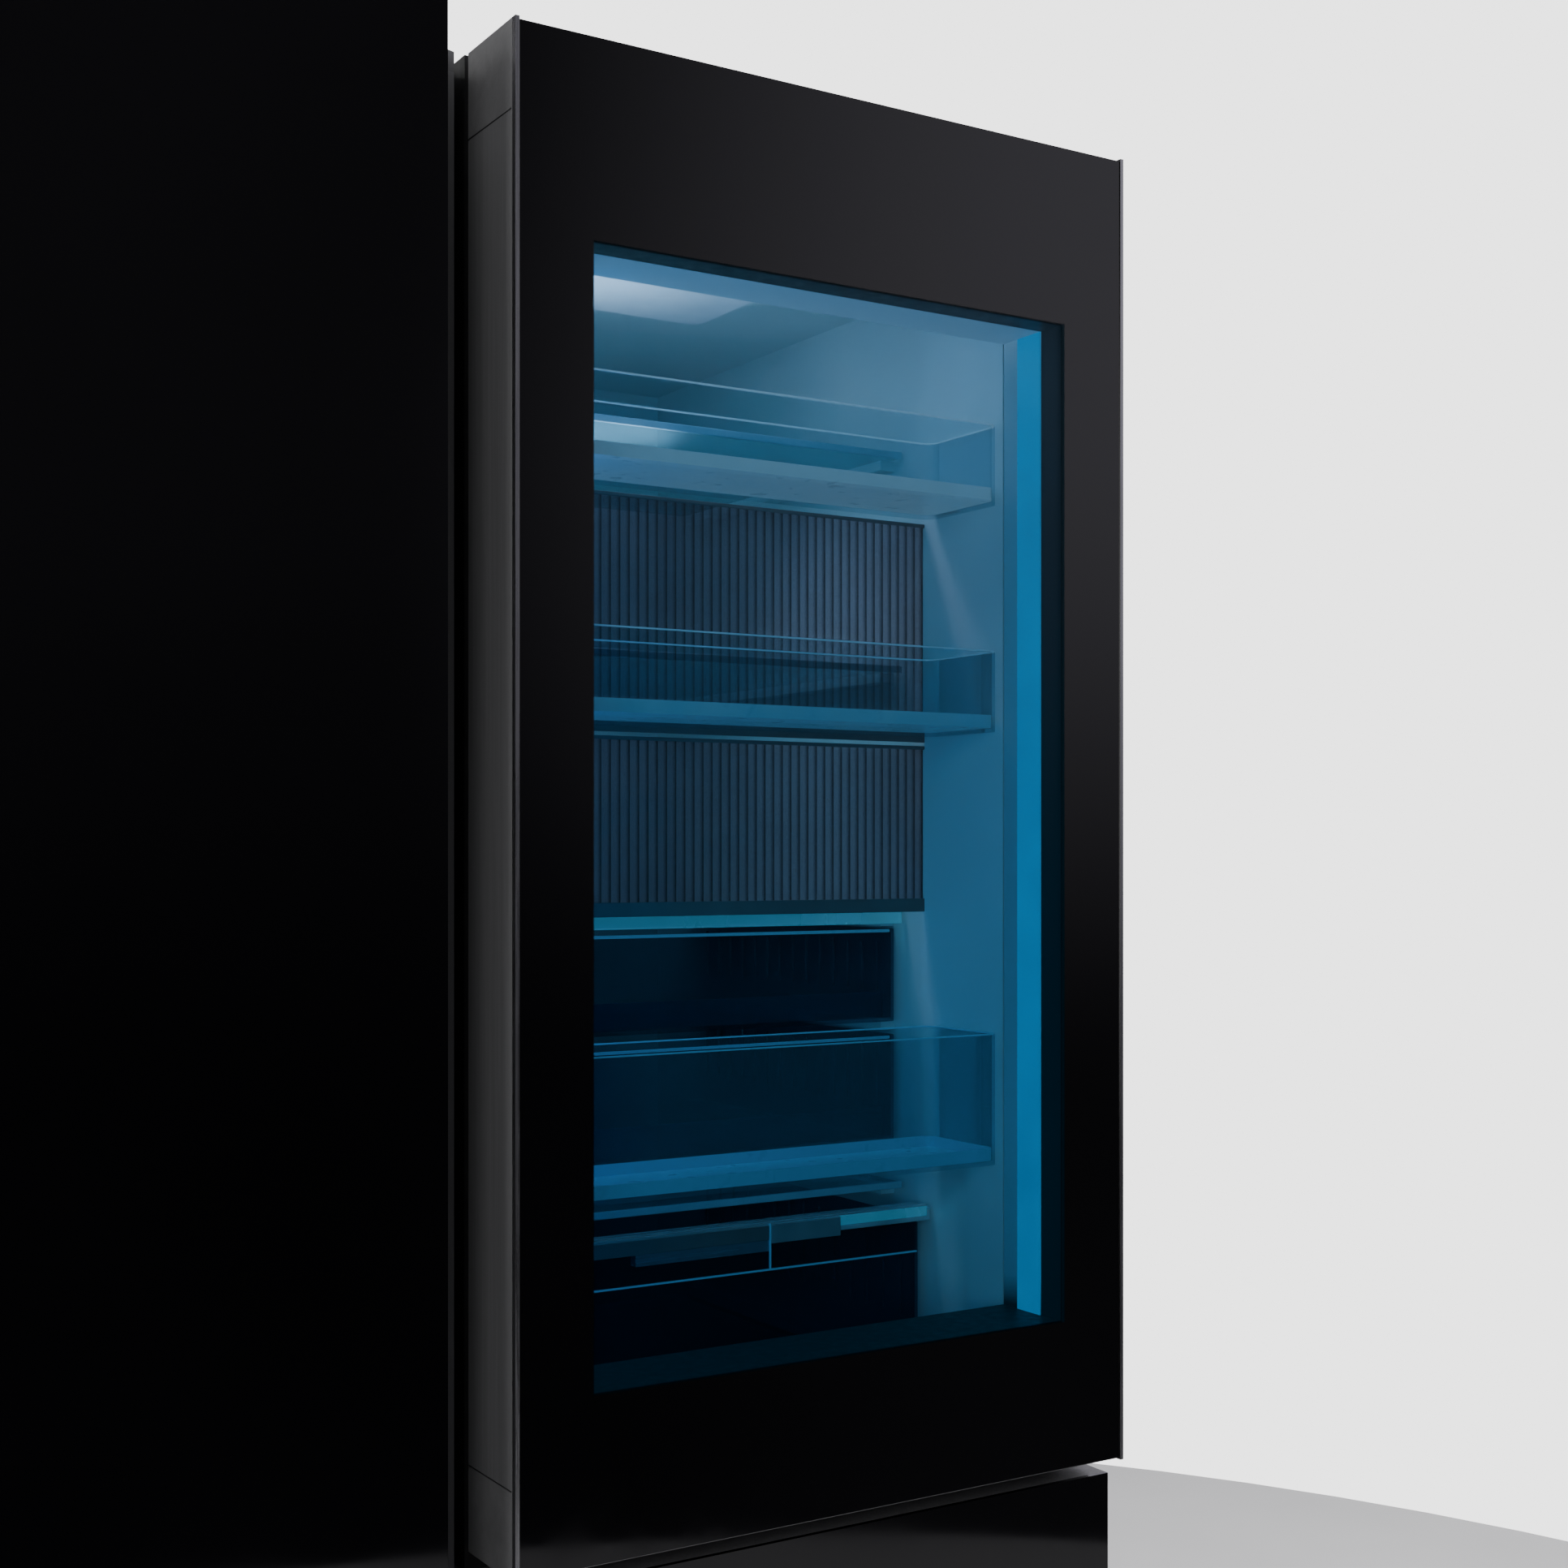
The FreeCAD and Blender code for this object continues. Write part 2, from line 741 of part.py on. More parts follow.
def fin_coil(name, x, y, z, tubes, fins):
    """A finned heat exchanger: straight tubes in a grid, through a row of thin fins."""
    pieces = []
    run = f"(({x[1]}) - ({x[0]}) - 2 * fin_margin - fin_thickness)"
    for fin in range(fins):
        here = f"{x[0]} + fin_margin + {run} * {fin} / {fins - 1}"
        pieces.append(box(f"{name}_fin_{fin}", (here, f"{here} + fin_thickness"), y, z))
    rows, columns = tubes
    for row in range(rows):
        for column in range(columns):
            across = f"{y[0]} + (({y[1]}) - ({y[0]})) * {column + 0.5} / {columns}"
            up = f"{z[0]} + (({z[1]}) - ({z[0]})) * {row + 0.5} / {rows}"
            pieces.append(
                rod(f"{name}_tube_{row}_{column}", "X", (x[0], across, up),
                    f"({x[1]}) - ({x[0]})", "tube_radius")
            )
    node(name, fuse(name + "_block", *pieces))


def compressor():
    """The domed compressor can on its foot plate."""
    body = doc.addObject("PartDesign::Body", "compressor_can")
    bottom = "cabinet_bottom + base_thickness"
    outline = [
        ("0", f"{bottom} + compressor_foot_height"),
        ("compressor_radius", f"{bottom} + compressor_foot_height"),
        ("compressor_radius", f"{bottom} + compressor_height * 0.72"),
        ("compressor_radius * 0.86", f"{bottom} + compressor_height * 0.88"),
        ("compressor_radius * 0.5", f"{bottom} + compressor_height * 0.97"),
        ("0", f"{bottom} + compressor_height"),
    ]
    drawing = sketch(body, "can_outline", "XZ", outline, "0")
    turned = body.newObject("PartDesign::Revolution", "can")
    turned.Profile = drawing
    turned.ReferenceAxis = (drawing, ["V_Axis"])
    turned.Angle = 360
    body.Tip = turned
    move_to(body, "compressor_x", "compressor_y", "0")
    reach = "compressor_radius + compressor_foot"
    plate = box("compressor_feet", (f"compressor_x - {reach}", f"compressor_x + {reach}"),
                ("compressor_y - compressor_foot_half", "compressor_y + compressor_foot_half"),
                (bottom, f"{bottom} + compressor_foot_height"))
    node("compressor", fuse("compressor_unit", body, plate))


def fan(name, axis, middle, span):
    """A hub with five tilted blades, turning about an axis through its middle."""
    start = list(middle)
    start["XYZ".index(axis)] = span[0]
    length = f"({span[1]}) - ({span[0]})"
    pieces = [rod(name + "_hub", axis, start, length, "fan_hub")]
    for number in range(5):
        blade = doc.addObject("Part::Box", f"{name}_blade_{number}")
        bind(blade, "Length", "fan_radius - fan_hub + 4")
        bind(blade, "Width", "blade_thickness")
        bind(blade, "Height", f"({length}) * 1.6")
        outwards = FreeCAD.Rotation(FreeCAD.Vector(0, 0, 1), 72 * number)
        tilted = FreeCAD.Rotation(FreeCAD.Vector(1, 0, 0), FAN_TILT)
        reach = DIMENSIONS["fan_hub"] - 4
        sunk = FreeCAD.Vector(reach, 4, 2)
        local = FreeCAD.Placement(outwards.multVec(sunk), outwards.multiply(tilted))
        turn = FreeCAD.Placement(FreeCAD.Vector(), TURN_FROM_Z[axis])
        blade.Placement = turn.multiply(local)
        shift = blade.Placement.Base
        move_to(blade, *(f"{p} + {s}" for p, s in zip(start, (shift.x, shift.y, shift.z))))
        pieces.append(blade)
    wheel = fuse(name + "_wheel", *pieces)
    wheel.Refine = False
    node(name, wheel)


def machine_room():
    """What makes the cold: compressor, condenser with its fan, evaporator with its fan."""
    compressor()
    fin_coil("condenser_coil", ("condenser_left", "condenser_right"),
             ("condenser_front", "condenser_back"), ("condenser_bottom", "condenser_top"),
             (4, 3), 24)
    fan("condenser_fan", "X", ("condenser_fan_x", "condenser_fan_y", "condenser_fan_z"),
        ("condenser_fan_x", "condenser_fan_x + condenser_fan_length"))
    fin_coil("evaporator_coil", border(("freezer_left", "freezer_right"), "evaporator_side_gap"),
             ("evaporator_front", "evaporator_back"), ("evaporator_bottom", "evaporator_top"),
             (6, 2), 24)
    middle = "(freezer_left + freezer_right) / 2"
    fan("evaporator_fan", "Y", (middle, "evaporator_fan_y", "evaporator_fan_z"),
        ("evaporator_fan_y", "evaporator_fan_y + evaporator_fan_length"))


def duct_covers():
    """The air duct covers on the back walls, with outlet slots."""
    y = ("cavity_back - duct_thickness", "cavity_back")
    x = ("fridge_left + duct_side_gap", "fridge_right - duct_side_gap")
    cover = pad("fridge_duct", "XZ", rectangle(x, ("duct_bottom", "duct_top")), y)
    low = "duct_bottom + duct_slot_rise"
    outlets = rectangle(border(x, "duct_slot_inset"), (low, f"{low} + duct_slot_height"))
    slot = pocket(cover, "duct_slot", "XZ", outlets, y)
    pattern(cover, "duct_slots", slot, "V_Axis", "duct_slot_span", 6)
    node("fridge_duct_cover", cover)

    y = ("freezer_duct_front", "freezer_duct_front + freezer_duct_thickness")
    x = ("freezer_left", "freezer_right")
    cover = pad("freezer_duct", "XZ", rectangle(x, ("step_top", "cavity_top")), y)
    outlets = rectangle(border(x, "freezer_slot_inset"),
                        ("freezer_slot_bottom", "freezer_slot_bottom + freezer_slot_height"))
    slot = pocket(cover, "freezer_slot", "XZ", outlets, y)
    pattern(cover, "freezer_slots", slot, "V_Axis", "freezer_slot_span", 7)
    node("freezer_duct_cover", cover)


def ceiling_lens():
    """The lamp lens in the ceiling of the fridge."""
    middle = "(fridge_left + fridge_right) / 2"
    body = pad("lens", "XY",
               rectangle((f"{middle} - lens_length / 2", f"{middle} + lens_length / 2"),
                         ("0 - lens_width", "0")), ("cavity_top - lens_thickness", "cavity_top"))
    round_uprights(body, "lens_corners", "lens_radius")
    node("ceiling_light_lens", body)


def shelves():
    """Glass shelves and drawer covers, resting on the liner's ledges."""
    rooms = (
        ("fridge_shelves", "fridge_left", "fridge_right", FRIDGE_SHELVES),
        ("freezer_shelves", "freezer_left", "freezer_right", FREEZER_SHELVES),
    )
    for name, left, right, tops in rooms:
        panes = [
            box(f"{name}_{number}", (f"{left} + shelf_side_gap", f"{right} - shelf_side_gap"),
                (depth("shelf_front_depth"), "shelf_back"), (f"{top} - shelf_glass", top))
            for number, top in enumerate(tops)
        ]
        node(name, fuse(name + "_set", *panes))


# ---------------------------------------------------------------- drawers


def drawer(name, left, right, z, front, back):
    """A clear drawer that slides on the liner's ledges."""
    x = (f"{left} + drawer_side_gap", f"{right} - drawer_side_gap")
    return tray(name, x, (depth(front), back), z, "drawer_wall", "drawer_floor", "drawer_radius")


def drawers():
    """Five drawers in the fridge, two in the freezer, and the bright trim of the main one."""
    room = ("fridge_left", "fridge_right")
    cold = ("freezer_left", "freezer_right")
    upper = ("crisper_upper_bottom", "crisper_upper_top")
    lower = ("crisper_lower_bottom", "crisper_lower_top")
    vegetable = ("vegetable_bottom", "vegetable_top")
    table = (
        ("chiller_drawer", room, ("chiller_bottom", "chiller_top"), "crisper_depth", "drawer_back"),
        ("deli_drawer", room, ("deli_bottom", "deli_top"), "crisper_depth", "drawer_back"),
        ("vegetable_drawer", room, vegetable, "vegetable_depth", "drawer_back"),
        ("crisper_upper", room, upper, "crisper_depth", "drawer_back"),
        ("crisper_lower", room, lower, "crisper_depth", "short_drawer_back"),
        ("freezer_drawer_upper", cold, upper, "crisper_depth", "drawer_back"),
        ("freezer_drawer_lower", cold, lower, "crisper_depth", "short_drawer_back"),
    )
    for name, (left, right), z, front, back in table:
        node(name, drawer(name + "_tray", left, right, z, front, back))
    x = ("fridge_left + drawer_side_gap", "fridge_right - drawer_side_gap")
    middle = "(fridge_left + fridge_right) / 2"
    bar = box("vegetable_bar", x, (depth("vegetable_depth - trim_depth"),
                                   depth("vegetable_depth + drawer_radius")),
              ("vegetable_top", "vegetable_top + trim_height"))
    grip = box("vegetable_grip", (f"{middle} - grip_width / 2", f"{middle} + grip_width / 2"),
               (depth("vegetable_depth - trim_depth"), depth("vegetable_depth")),
               ("vegetable_top - grip_drop", "vegetable_top"))
    node("vegetable_drawer_trim", fuse("vegetable_trim", bar, grip))


# ---------------------------------------------------------------- freezer door


def hinge_bore(name, sign, at_depth, start, length):
    """The tool for a hinge pin's hole."""
    place = (f"{sign} * hinge_x", depth(at_depth), start)
    return rod(name, "Z", place, length, "pin_radius + pin_play")


def freezer_door_outline(inset, back):
    """The door from above: a front with a slanted finger recess down its opening edge."""
    left = f"-{SIDE} + {inset}"
    right = f"freezer_door_right - {inset}"
    lip = f"freezer_lip_right - {inset}"
    return [
        (left, depth(f"glass_thickness + glass_inset + {inset}")),
        (right, depth(f"glass_thickness + glass_inset + {inset}")),
        (right, depth(f"lip_front_depth - lip_slope + {inset}")),
        (lip, depth(f"lip_front_depth + {inset}")),
        (lip, back),
        (left, back),
    ]


def freezer_door():
    """The freezer door: glass front, folded shell, foam, end caps, liner, bins and gasket."""
    glass_x = (f"-{SIDE}", "freezer_door_right")
    glass_y = (depth("0"), depth("glass_thickness + glass_inset"))
    node("freezer_door_panel",
         box("freezer_glass", glass_x, glass_y, ("door_bottom", "door_top")))

    z = ("door_bottom + door_cap", "door_top - door_cap")
    back = depth("door_liner_depth")
    shell = pad("freezer_shell", "XY", freezer_door_outline("0", back), z)
    hollow = pocket(shell, "freezer_shell_hollow", "XY",
                    freezer_door_outline("door_skin", f"{back} + 5"), z)
    shell.Tip = hollow
    node("freezer_door_shell", shell)
    node("freezer_door_insulation",
         pad("freezer_foam", "XY", freezer_door_outline("door_skin", back), z))

    outline = freezer_door_outline("0", back)
    bottom = cut("freezer_cap_bottom",
                 pad("freezer_cap_low", "XY", outline, ("door_bottom", "door_bottom + door_cap")),
                 hinge_bore("freezer_bore_low", "-1", "hinge_depth", "door_bottom", "door_cap"))
    top = cut("freezer_cap_top",
              pad("freezer_cap_high", "XY", outline, ("door_top - door_cap", "door_top")),
              hinge_bore("freezer_bore_high", "-1", "hinge_depth", "door_top - door_cap",
                         "door_cap"))
    node("freezer_door_caps", fuse("freezer_caps", bottom, top))

    plate = box("freezer_liner_plate", (f"-{SIDE} + edge_trim", "freezer_lip_right - door_skin"),
                (back, depth("gasket_depth")), border(("door_bottom", "door_top"), "liner_inset"))
    ridge_y = (depth("gasket_depth"), depth("ridge_depth"))
    ridge_z = ("ridge_bottom", "cavity_top - ridge_top_gap")
    left = "freezer_left + ridge_inset - ridge_width"
    right = "freezer_right - ridge_inset + ridge_width"
    ridges = [
        box("ridge_left", (left, f"{left} + ridge_width"), ridge_y, ridge_z),
        box("ridge_right", (f"{right} - ridge_width", right), ridge_y, ridge_z),
    ]
    node("freezer_door_liner", fuse("freezer_inner", plate, *ridges))

    bins = [
        tray(f"freezer_tray_{number}", (f"{left} + ridge_width", f"{right} - ridge_width"),
             (depth("gasket_depth"), depth("freezer_bin_depth")),
             (f"freezer_bin_{number}", f"freezer_bin_{number} + freezer_bin_height"),
             "bin_wall", "bin_floor", "bin_radius")
        for number in range(1, 7)
    ]
    node("freezer_door_bins", fuse("freezer_bins", *bins))
    gasket("freezer_door_gasket", (f"-{SIDE}", "freezer_lip_right"),
           ("gasket_hinge_inset", "gasket_opening_inset"))


def gasket(name, door_x, insets):
    """The magnetic seal between a door's liner and the cabinet's front."""
    outer_x = (f"{door_x[0]} + {insets[0]}", f"{door_x[1]} - {insets[1]}")
    outer_z = border(("door_bottom", "door_top"), "gasket_inset")
    node(name, ring(name + "_ring", outer_x, outer_z, border(outer_x, "gasket_width"),
                    border(outer_z, "gasket_width"), (depth("gasket_depth"), CABINET_FRONT)))


# ---------------------------------------------------------------- fridge door


CASE_X = ("case_left", "case_right")
CASE_Z = ("case_bottom", "case_top")


def fridge_door_front():
    """The fridge door's black ring behind the outer door, and its set back lower front."""
    x = ("fridge_door_left", SIDE)
    y = (depth("inner_door_depth"), depth("door_liner_depth"))
    frame = ring("fridge_ring", x, ("grip_gap_bottom", "door_top"), CASE_X, CASE_Z, y)
    bore = hinge_bore("fridge_bore_high", "1", "hinge_depth", "door_top - pin_reach", "pin_reach")
    node("fridge_door_frame", cut("fridge_frame", frame, bore))

    glass_y = (depth("lower_setback"), depth("lower_setback + glass_thickness"))
    node("fridge_door_lower_panel",
         box("lower_glass", x, glass_y, ("door_bottom", "grip_gap_bottom")))

    shell_y = (glass_y[1], y[1])
    shell = box("lower_shell_block", x, shell_y, ("door_bottom", "grip_gap_bottom"))
    inside_x = border(x, "door_skin")
    inside_z = ("door_bottom + door_cap", "grip_gap_bottom - door_skin")
    hollow = box("lower_shell_hollow", inside_x, (f"{shell_y[0]} + door_skin", f"{y[1]} + 5"),
                 inside_z)
    bore = hinge_bore("fridge_bore_low", "1", "hinge_depth", "door_bottom", "door_cap")
    node("fridge_door_lower_shell", cut("lower_shell", shell, hollow, bore))
    node("fridge_door_insulation",
         box("lower_foam", inside_x, (f"{shell_y[0]} + door_skin", y[1]), inside_z))


def fridge_door_back():
    """The white back of the fridge door: liner panels, storage case, clear covers and bins."""
    back = (depth("door_liner_depth"), depth("gasket_depth"))
    x = border(("fridge_door_left", SIDE), "edge_trim")
    z = border(("door_bottom", "door_top"), "liner_inset")
    beside = ("case_bottom + liner_seam", z[1])
    panels = [
        box("back_panel_low", x, back, (z[0], "case_bottom")),
        box("back_panel_left", (x[0], "case_left"), back, beside),
        box("back_panel_right", ("case_right", x[1]), back, beside),
        box("back_panel_top", border(CASE_X, "liner_seam"), back, ("case_top", z[1])),
    ]
    node("fridge_door_liner", fuse("fridge_back_panels", *panels))

    inner_x = border(CASE_X, "case_wall")
    inner_z = border(CASE_Z, "case_wall")
    case = ring("case_tube", CASE_X, CASE_Z, inner_x, inner_z,
                (depth("inner_door_depth"), depth("case_depth")))
    notch = pocket(case, "case_notch", "YZ",
                   rectangle((depth("case_low_depth"), depth("case_depth")),
                             ("case_bottom", "case_step")), CASE_X)
    case.Tip = notch
    node("fridge_door_case", case)

    pane_y = (depth("case_depth - flute_pane"), depth("case_depth"))
    panes = [
        box(f"flute_{place}", inner_x, pane_y, (f"{place}_bottom", f"{place}_top"))
        for place in ("lower_pane", "upper_pane")
    ]
    node("fluted_covers", fuse("case_covers", *panes))

    bin_y = (depth("bin_front_depth"), depth("bin_back_depth"))
    for place in ("upper", "middle", "lower"):
        z = (f"{place}_bin_bottom", f"{place}_bin_top")
        node(f"door_bin_{place}",
             tray(f"{place}_tray", inner_x, bin_y, z, "bin_wall", "bin_floor", "bin_radius"))
    node("door_bin_low",
         tray("low_tray", border(CASE_X, "low_bin_inset"),
              (depth("gasket_depth"), depth("low_bin_depth")),
              ("low_bin_bottom", "low_bin_top"), "bin_wall", "bin_floor", "bin_radius"))
    gasket("fridge_door_gasket", ("fridge_door_left", SIDE),
           ("gasket_opening_inset", "gasket_hinge_inset"))


def outer_hinge_brackets():
    """The two brackets on the fridge door that carry the outer door's pins."""
    place = ("hinge_x", depth("outer_hinge_depth"))
    top = ("door_top", "door_top + outer_bracket_thickness")
    front = depth("outer_hinge_depth - tongue_front")
    left = "hinge_x - upper_tongue_reach"
    right = "hinge_x + tongue_side"
    upper = [
        box("upper_tongue", (left, right), (front, depth("inner_door_depth + tongue_root")), top),
        box("upper_root", (left, "hinge_x - upper_root_side"), (front, depth("door_liner_depth")),
            top),
        rod("upper_outer_pin", "Z", (*place, "door_top - pin_reach"), "pin_reach", "pin_radius"),
    ]
    low = "(grip_gap_bottom + grip_gap_top) / 2"
    plate = (f"{low} - outer_bracket_thickness / 2", f"{low} + outer_bracket_thickness / 2")
    lower = [
        box("lower_tongue", ("hinge_x - lower_tongue_reach", right),
            (front, depth("inner_door_depth")), plate),
        rod("lower_outer_pin", "Z", (*place, low), f"grip_gap_top - ({low}) + pin_reach",
            "pin_radius"),
    ]
    node("outer_hinge_brackets",
         fuse("outer_brackets", fuse("upper_bracket", *upper), fuse("lower_bracket", *lower)))


# ---------------------------------------------------------------- outer door


def outer_door():
    """The door-in-door: glass front with a window, inner pane, foam frame, caps and gasket."""
    x = ("fridge_door_left", SIDE)
    z = ("grip_gap_top", "outer_door_top")
    glass = box("outer_glass", border(x, "edge_trim"),
                (depth("glass_inset"), depth("glass_inset + glass_thickness")),
                border(z, "glass_edge"))
    node("outer_door_glass", glass)
    trim_y = (depth("0"), depth("glass_inset + glass_thickness"))
    trims = [
        box("trim_left", (x[0], f"{x[0]} + edge_trim"), trim_y, z),
        box("trim_right", (f"{x[1]} - edge_trim", x[1]), trim_y, z),
    ]
    node("outer_door_side_trims", fuse("side_trims", *trims))

    window_x = ("window_left", "window_right")
    window_z = ("window_bottom", "window_top")
    liner_x = border(window_x, "-window_liner")
    liner_z = border(window_z, "-window_liner")
    body_y = (depth("glass_inset + glass_thickness"), depth("outer_door_back_depth"))
    node("outer_door_frame",
         ring("outer_ring", x, border(z, "outer_cap"), liner_x, liner_z, body_y))
    pane_y = (depth("inner_pane_depth"), depth("inner_pane_depth + glass_thickness"))
    node("outer_door_inner_pane", box("inner_pane", window_x, pane_y, window_z))
    node("outer_door_window_liner",
         ring("window_ring", liner_x, liner_z, window_x, window_z, body_y))

    bottom = cut("outer_cap_bottom",
                 box("outer_cap_low", x, body_y, (z[0], f"{z[0]} + outer_cap")),
                 hinge_bore("outer_bore_low", "1", "outer_hinge_depth", z[0],
                            "pin_reach + bore_spare"))
    top = cut("outer_cap_top",
              box("outer_cap_high", x, body_y, (f"{z[1]} - outer_cap", z[1])),
              hinge_bore("outer_bore_high", "1", "outer_hinge_depth",
                         f"{z[1]} - pin_reach - bore_spare", "pin_reach + bore_spare"))
    node("outer_door_caps", fuse("outer_caps", bottom, top))

    outer_x = border(CASE_X, "-seal_reach")
    outer_z = border(CASE_Z, "-seal_reach")
    seal = ring("outer_seal", outer_x, outer_z, border(outer_x, "seal_width"),
                border(outer_z, "seal_width"), (body_y[1], depth("inner_door_depth")))
    node("outer_door_gasket", seal)


# ---------------------------------------------------------------- cabinet hinges


def hinge_brackets():
    """Upper and lower brackets with the pins that both doors turn on."""
    brackets = []
    for side, sign in (("left", "-1"), ("right", "1")):
        place = (f"{sign} * hinge_x", depth("hinge_depth"))
        x = (f"{place[0]} - bracket_width / 2", f"{place[0]} + bracket_width / 2")
        front = depth("hinge_depth - plate_front")
        upper = [
            box(f"hinge_plate_{side}", x, (front, f"{CABINET_FRONT} + plate_back"),
                ("cabinet_top", "cabinet_top + bracket_thickness")),
            rod(f"hinge_pin_{side}", "Z", (*place, "cabinet_top - door_cap"), "door_cap",
                "pin_radius"),
        ]
        low = "(door_bottom - plate_drop)"
        lower = [
            box(f"low_plate_{side}", x, (front, CABINET_FRONT), (f"{low} - bracket_thickness", low)),
            box(f"low_flange_{side}", x,
                (f"{CABINET_FRONT} - bracket_thickness", CABINET_FRONT),
                ("cabinet_bottom + plate_drop", low)),
            rod(f"low_pin_{side}", "Z", (*place, low), "door_cap", "pin_radius"),
        ]
        brackets.append(fuse(f"upper_hinge_{side}", *upper))
        brackets.append(fuse(f"lower_hinge_{side}", *lower))
    node("door_hinge_brackets", fuse("hinge_set", *brackets))


def hinge_covers():
    """The moulded covers over the upper hinges, low over the doors and rising to the back."""
    covers = []
    for side, sign in (("left", "-1"), ("right", "1")):
        outer_edge = f"{sign} * ({SIDE} - cover_inset)"
        inner_edge = f"{sign} * ({SIDE} - cover_inset - cover_width)"
        x = (outer_edge, inner_edge) if side == "left" else (inner_edge, outer_edge)
        y = (depth("hinge_depth - cover_front"), depth("hinge_depth - cover_front + cover_length"))
        body = pad(f"cover_{side}", "XY", rectangle(x, y), ("cabinet_top", "overall_height"))
        round_uprights(body, f"cover_corners_{side}", "cover_radius")
        crest = f"{y[0]} + cover_slope"
        slope = [(y[0], "cover_front_top"), (crest, "overall_height"), (y[0], "overall_height")]
        body.Tip = pocket(body, f"cover_slope_{side}", "YZ", slope, x)
        roof = [
            (f"{y[0]} + cover_wall", "cabinet_top"),
            (f"{y[1]} - cover_wall", "cabinet_top"),
            (f"{y[1]} - cover_wall", "overall_height - cover_wall"),
            (crest, "overall_height - cover_wall"),
            (f"{y[0]} + cover_wall", "cover_front_top - cover_wall"),
        ]
        body.Tip = pocket(body, f"cover_inside_{side}", "YZ", roof, border(x, "cover_wall"))
        covers.append(body)
    node("hinge_covers", fuse("cover_pair", *covers))


def check_and_write():
    """Stop on any failed object, then write each sub-part to its own file."""
    doc.recompute()
    for thing in doc.Objects:
        if {"Invalid", "Error"} & set(thing.State):
            raise RuntimeError(f"{thing.Label}: {thing.State}")
        if thing.TypeId == "PartDesign::Pocket":
            if thing.Shape.Volume >= thing.BaseFeature.Shape.Volume - 0.01:
                raise RuntimeError(f"{thing.Label} cuts nothing")
    os.makedirs("parts", exist_ok=True)
    for thing in nodes:
        shape = thing.Shape
        if shape.isNull() or not shape.isValid() or not shape.Solids:
            raise RuntimeError(f"{thing.Label} has no valid shape")
        shape.exportStep(f"parts/{thing.Label}.step")
        print(thing.Label, len(shape.Solids), round(shape.Volume / 1000), "cm3")
    print(len(nodes), "nodes")


fill_sheet()
side_panels()
top_panel()
back_panel()
base()
rollers()
feet()
liners()
insulation()
mullion_cover()
kick_grille()
machine_cover()
power_inlet()
machine_room()
duct_covers()
ceiling_lens()
shelves()
drawers()
freezer_door()
fridge_door_front()
fridge_door_back()
outer_hinge_brackets()
outer_door()
hinge_brackets()
hinge_covers()
check_and_write()
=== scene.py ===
import json
import math

import bmesh
import bpy
from mathutils import Matrix, Vector


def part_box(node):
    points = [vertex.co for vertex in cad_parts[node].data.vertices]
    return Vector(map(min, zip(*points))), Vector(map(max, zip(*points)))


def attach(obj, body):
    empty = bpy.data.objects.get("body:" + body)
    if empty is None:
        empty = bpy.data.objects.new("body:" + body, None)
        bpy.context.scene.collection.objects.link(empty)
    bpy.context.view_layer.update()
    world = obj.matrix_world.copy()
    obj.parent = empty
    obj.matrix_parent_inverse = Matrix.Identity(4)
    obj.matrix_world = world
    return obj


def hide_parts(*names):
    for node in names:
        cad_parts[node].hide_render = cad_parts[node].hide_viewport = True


# Looks of a black side by side refrigerator with a lit glass door-in-door. Metres, front at -Y.

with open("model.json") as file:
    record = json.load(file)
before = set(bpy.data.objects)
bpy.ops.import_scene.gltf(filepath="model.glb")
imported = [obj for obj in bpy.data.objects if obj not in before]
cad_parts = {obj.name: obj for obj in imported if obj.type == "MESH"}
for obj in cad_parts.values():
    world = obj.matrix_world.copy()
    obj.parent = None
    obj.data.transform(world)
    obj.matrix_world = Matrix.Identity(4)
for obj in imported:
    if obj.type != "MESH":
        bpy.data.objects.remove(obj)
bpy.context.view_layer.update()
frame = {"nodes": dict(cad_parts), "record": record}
NODES = frame["nodes"]
BODY_OF = {}
for body, carried in frame["record"]["behaviour"]["bodies"].items():
    BODY_OF.update({node: body for node in carried})


def corners(node):
    """A node's lowest and highest corners."""
    return tuple(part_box(node))


# ------------------------------------------------------------------ materials

HAIRLINE = (1, 1, 0.02)
GLASS_BLACK = (0.0016, 0.0016, 0.002)
GLASS_BLACK_LIGHT = (0.0028, 0.0027, 0.0034)


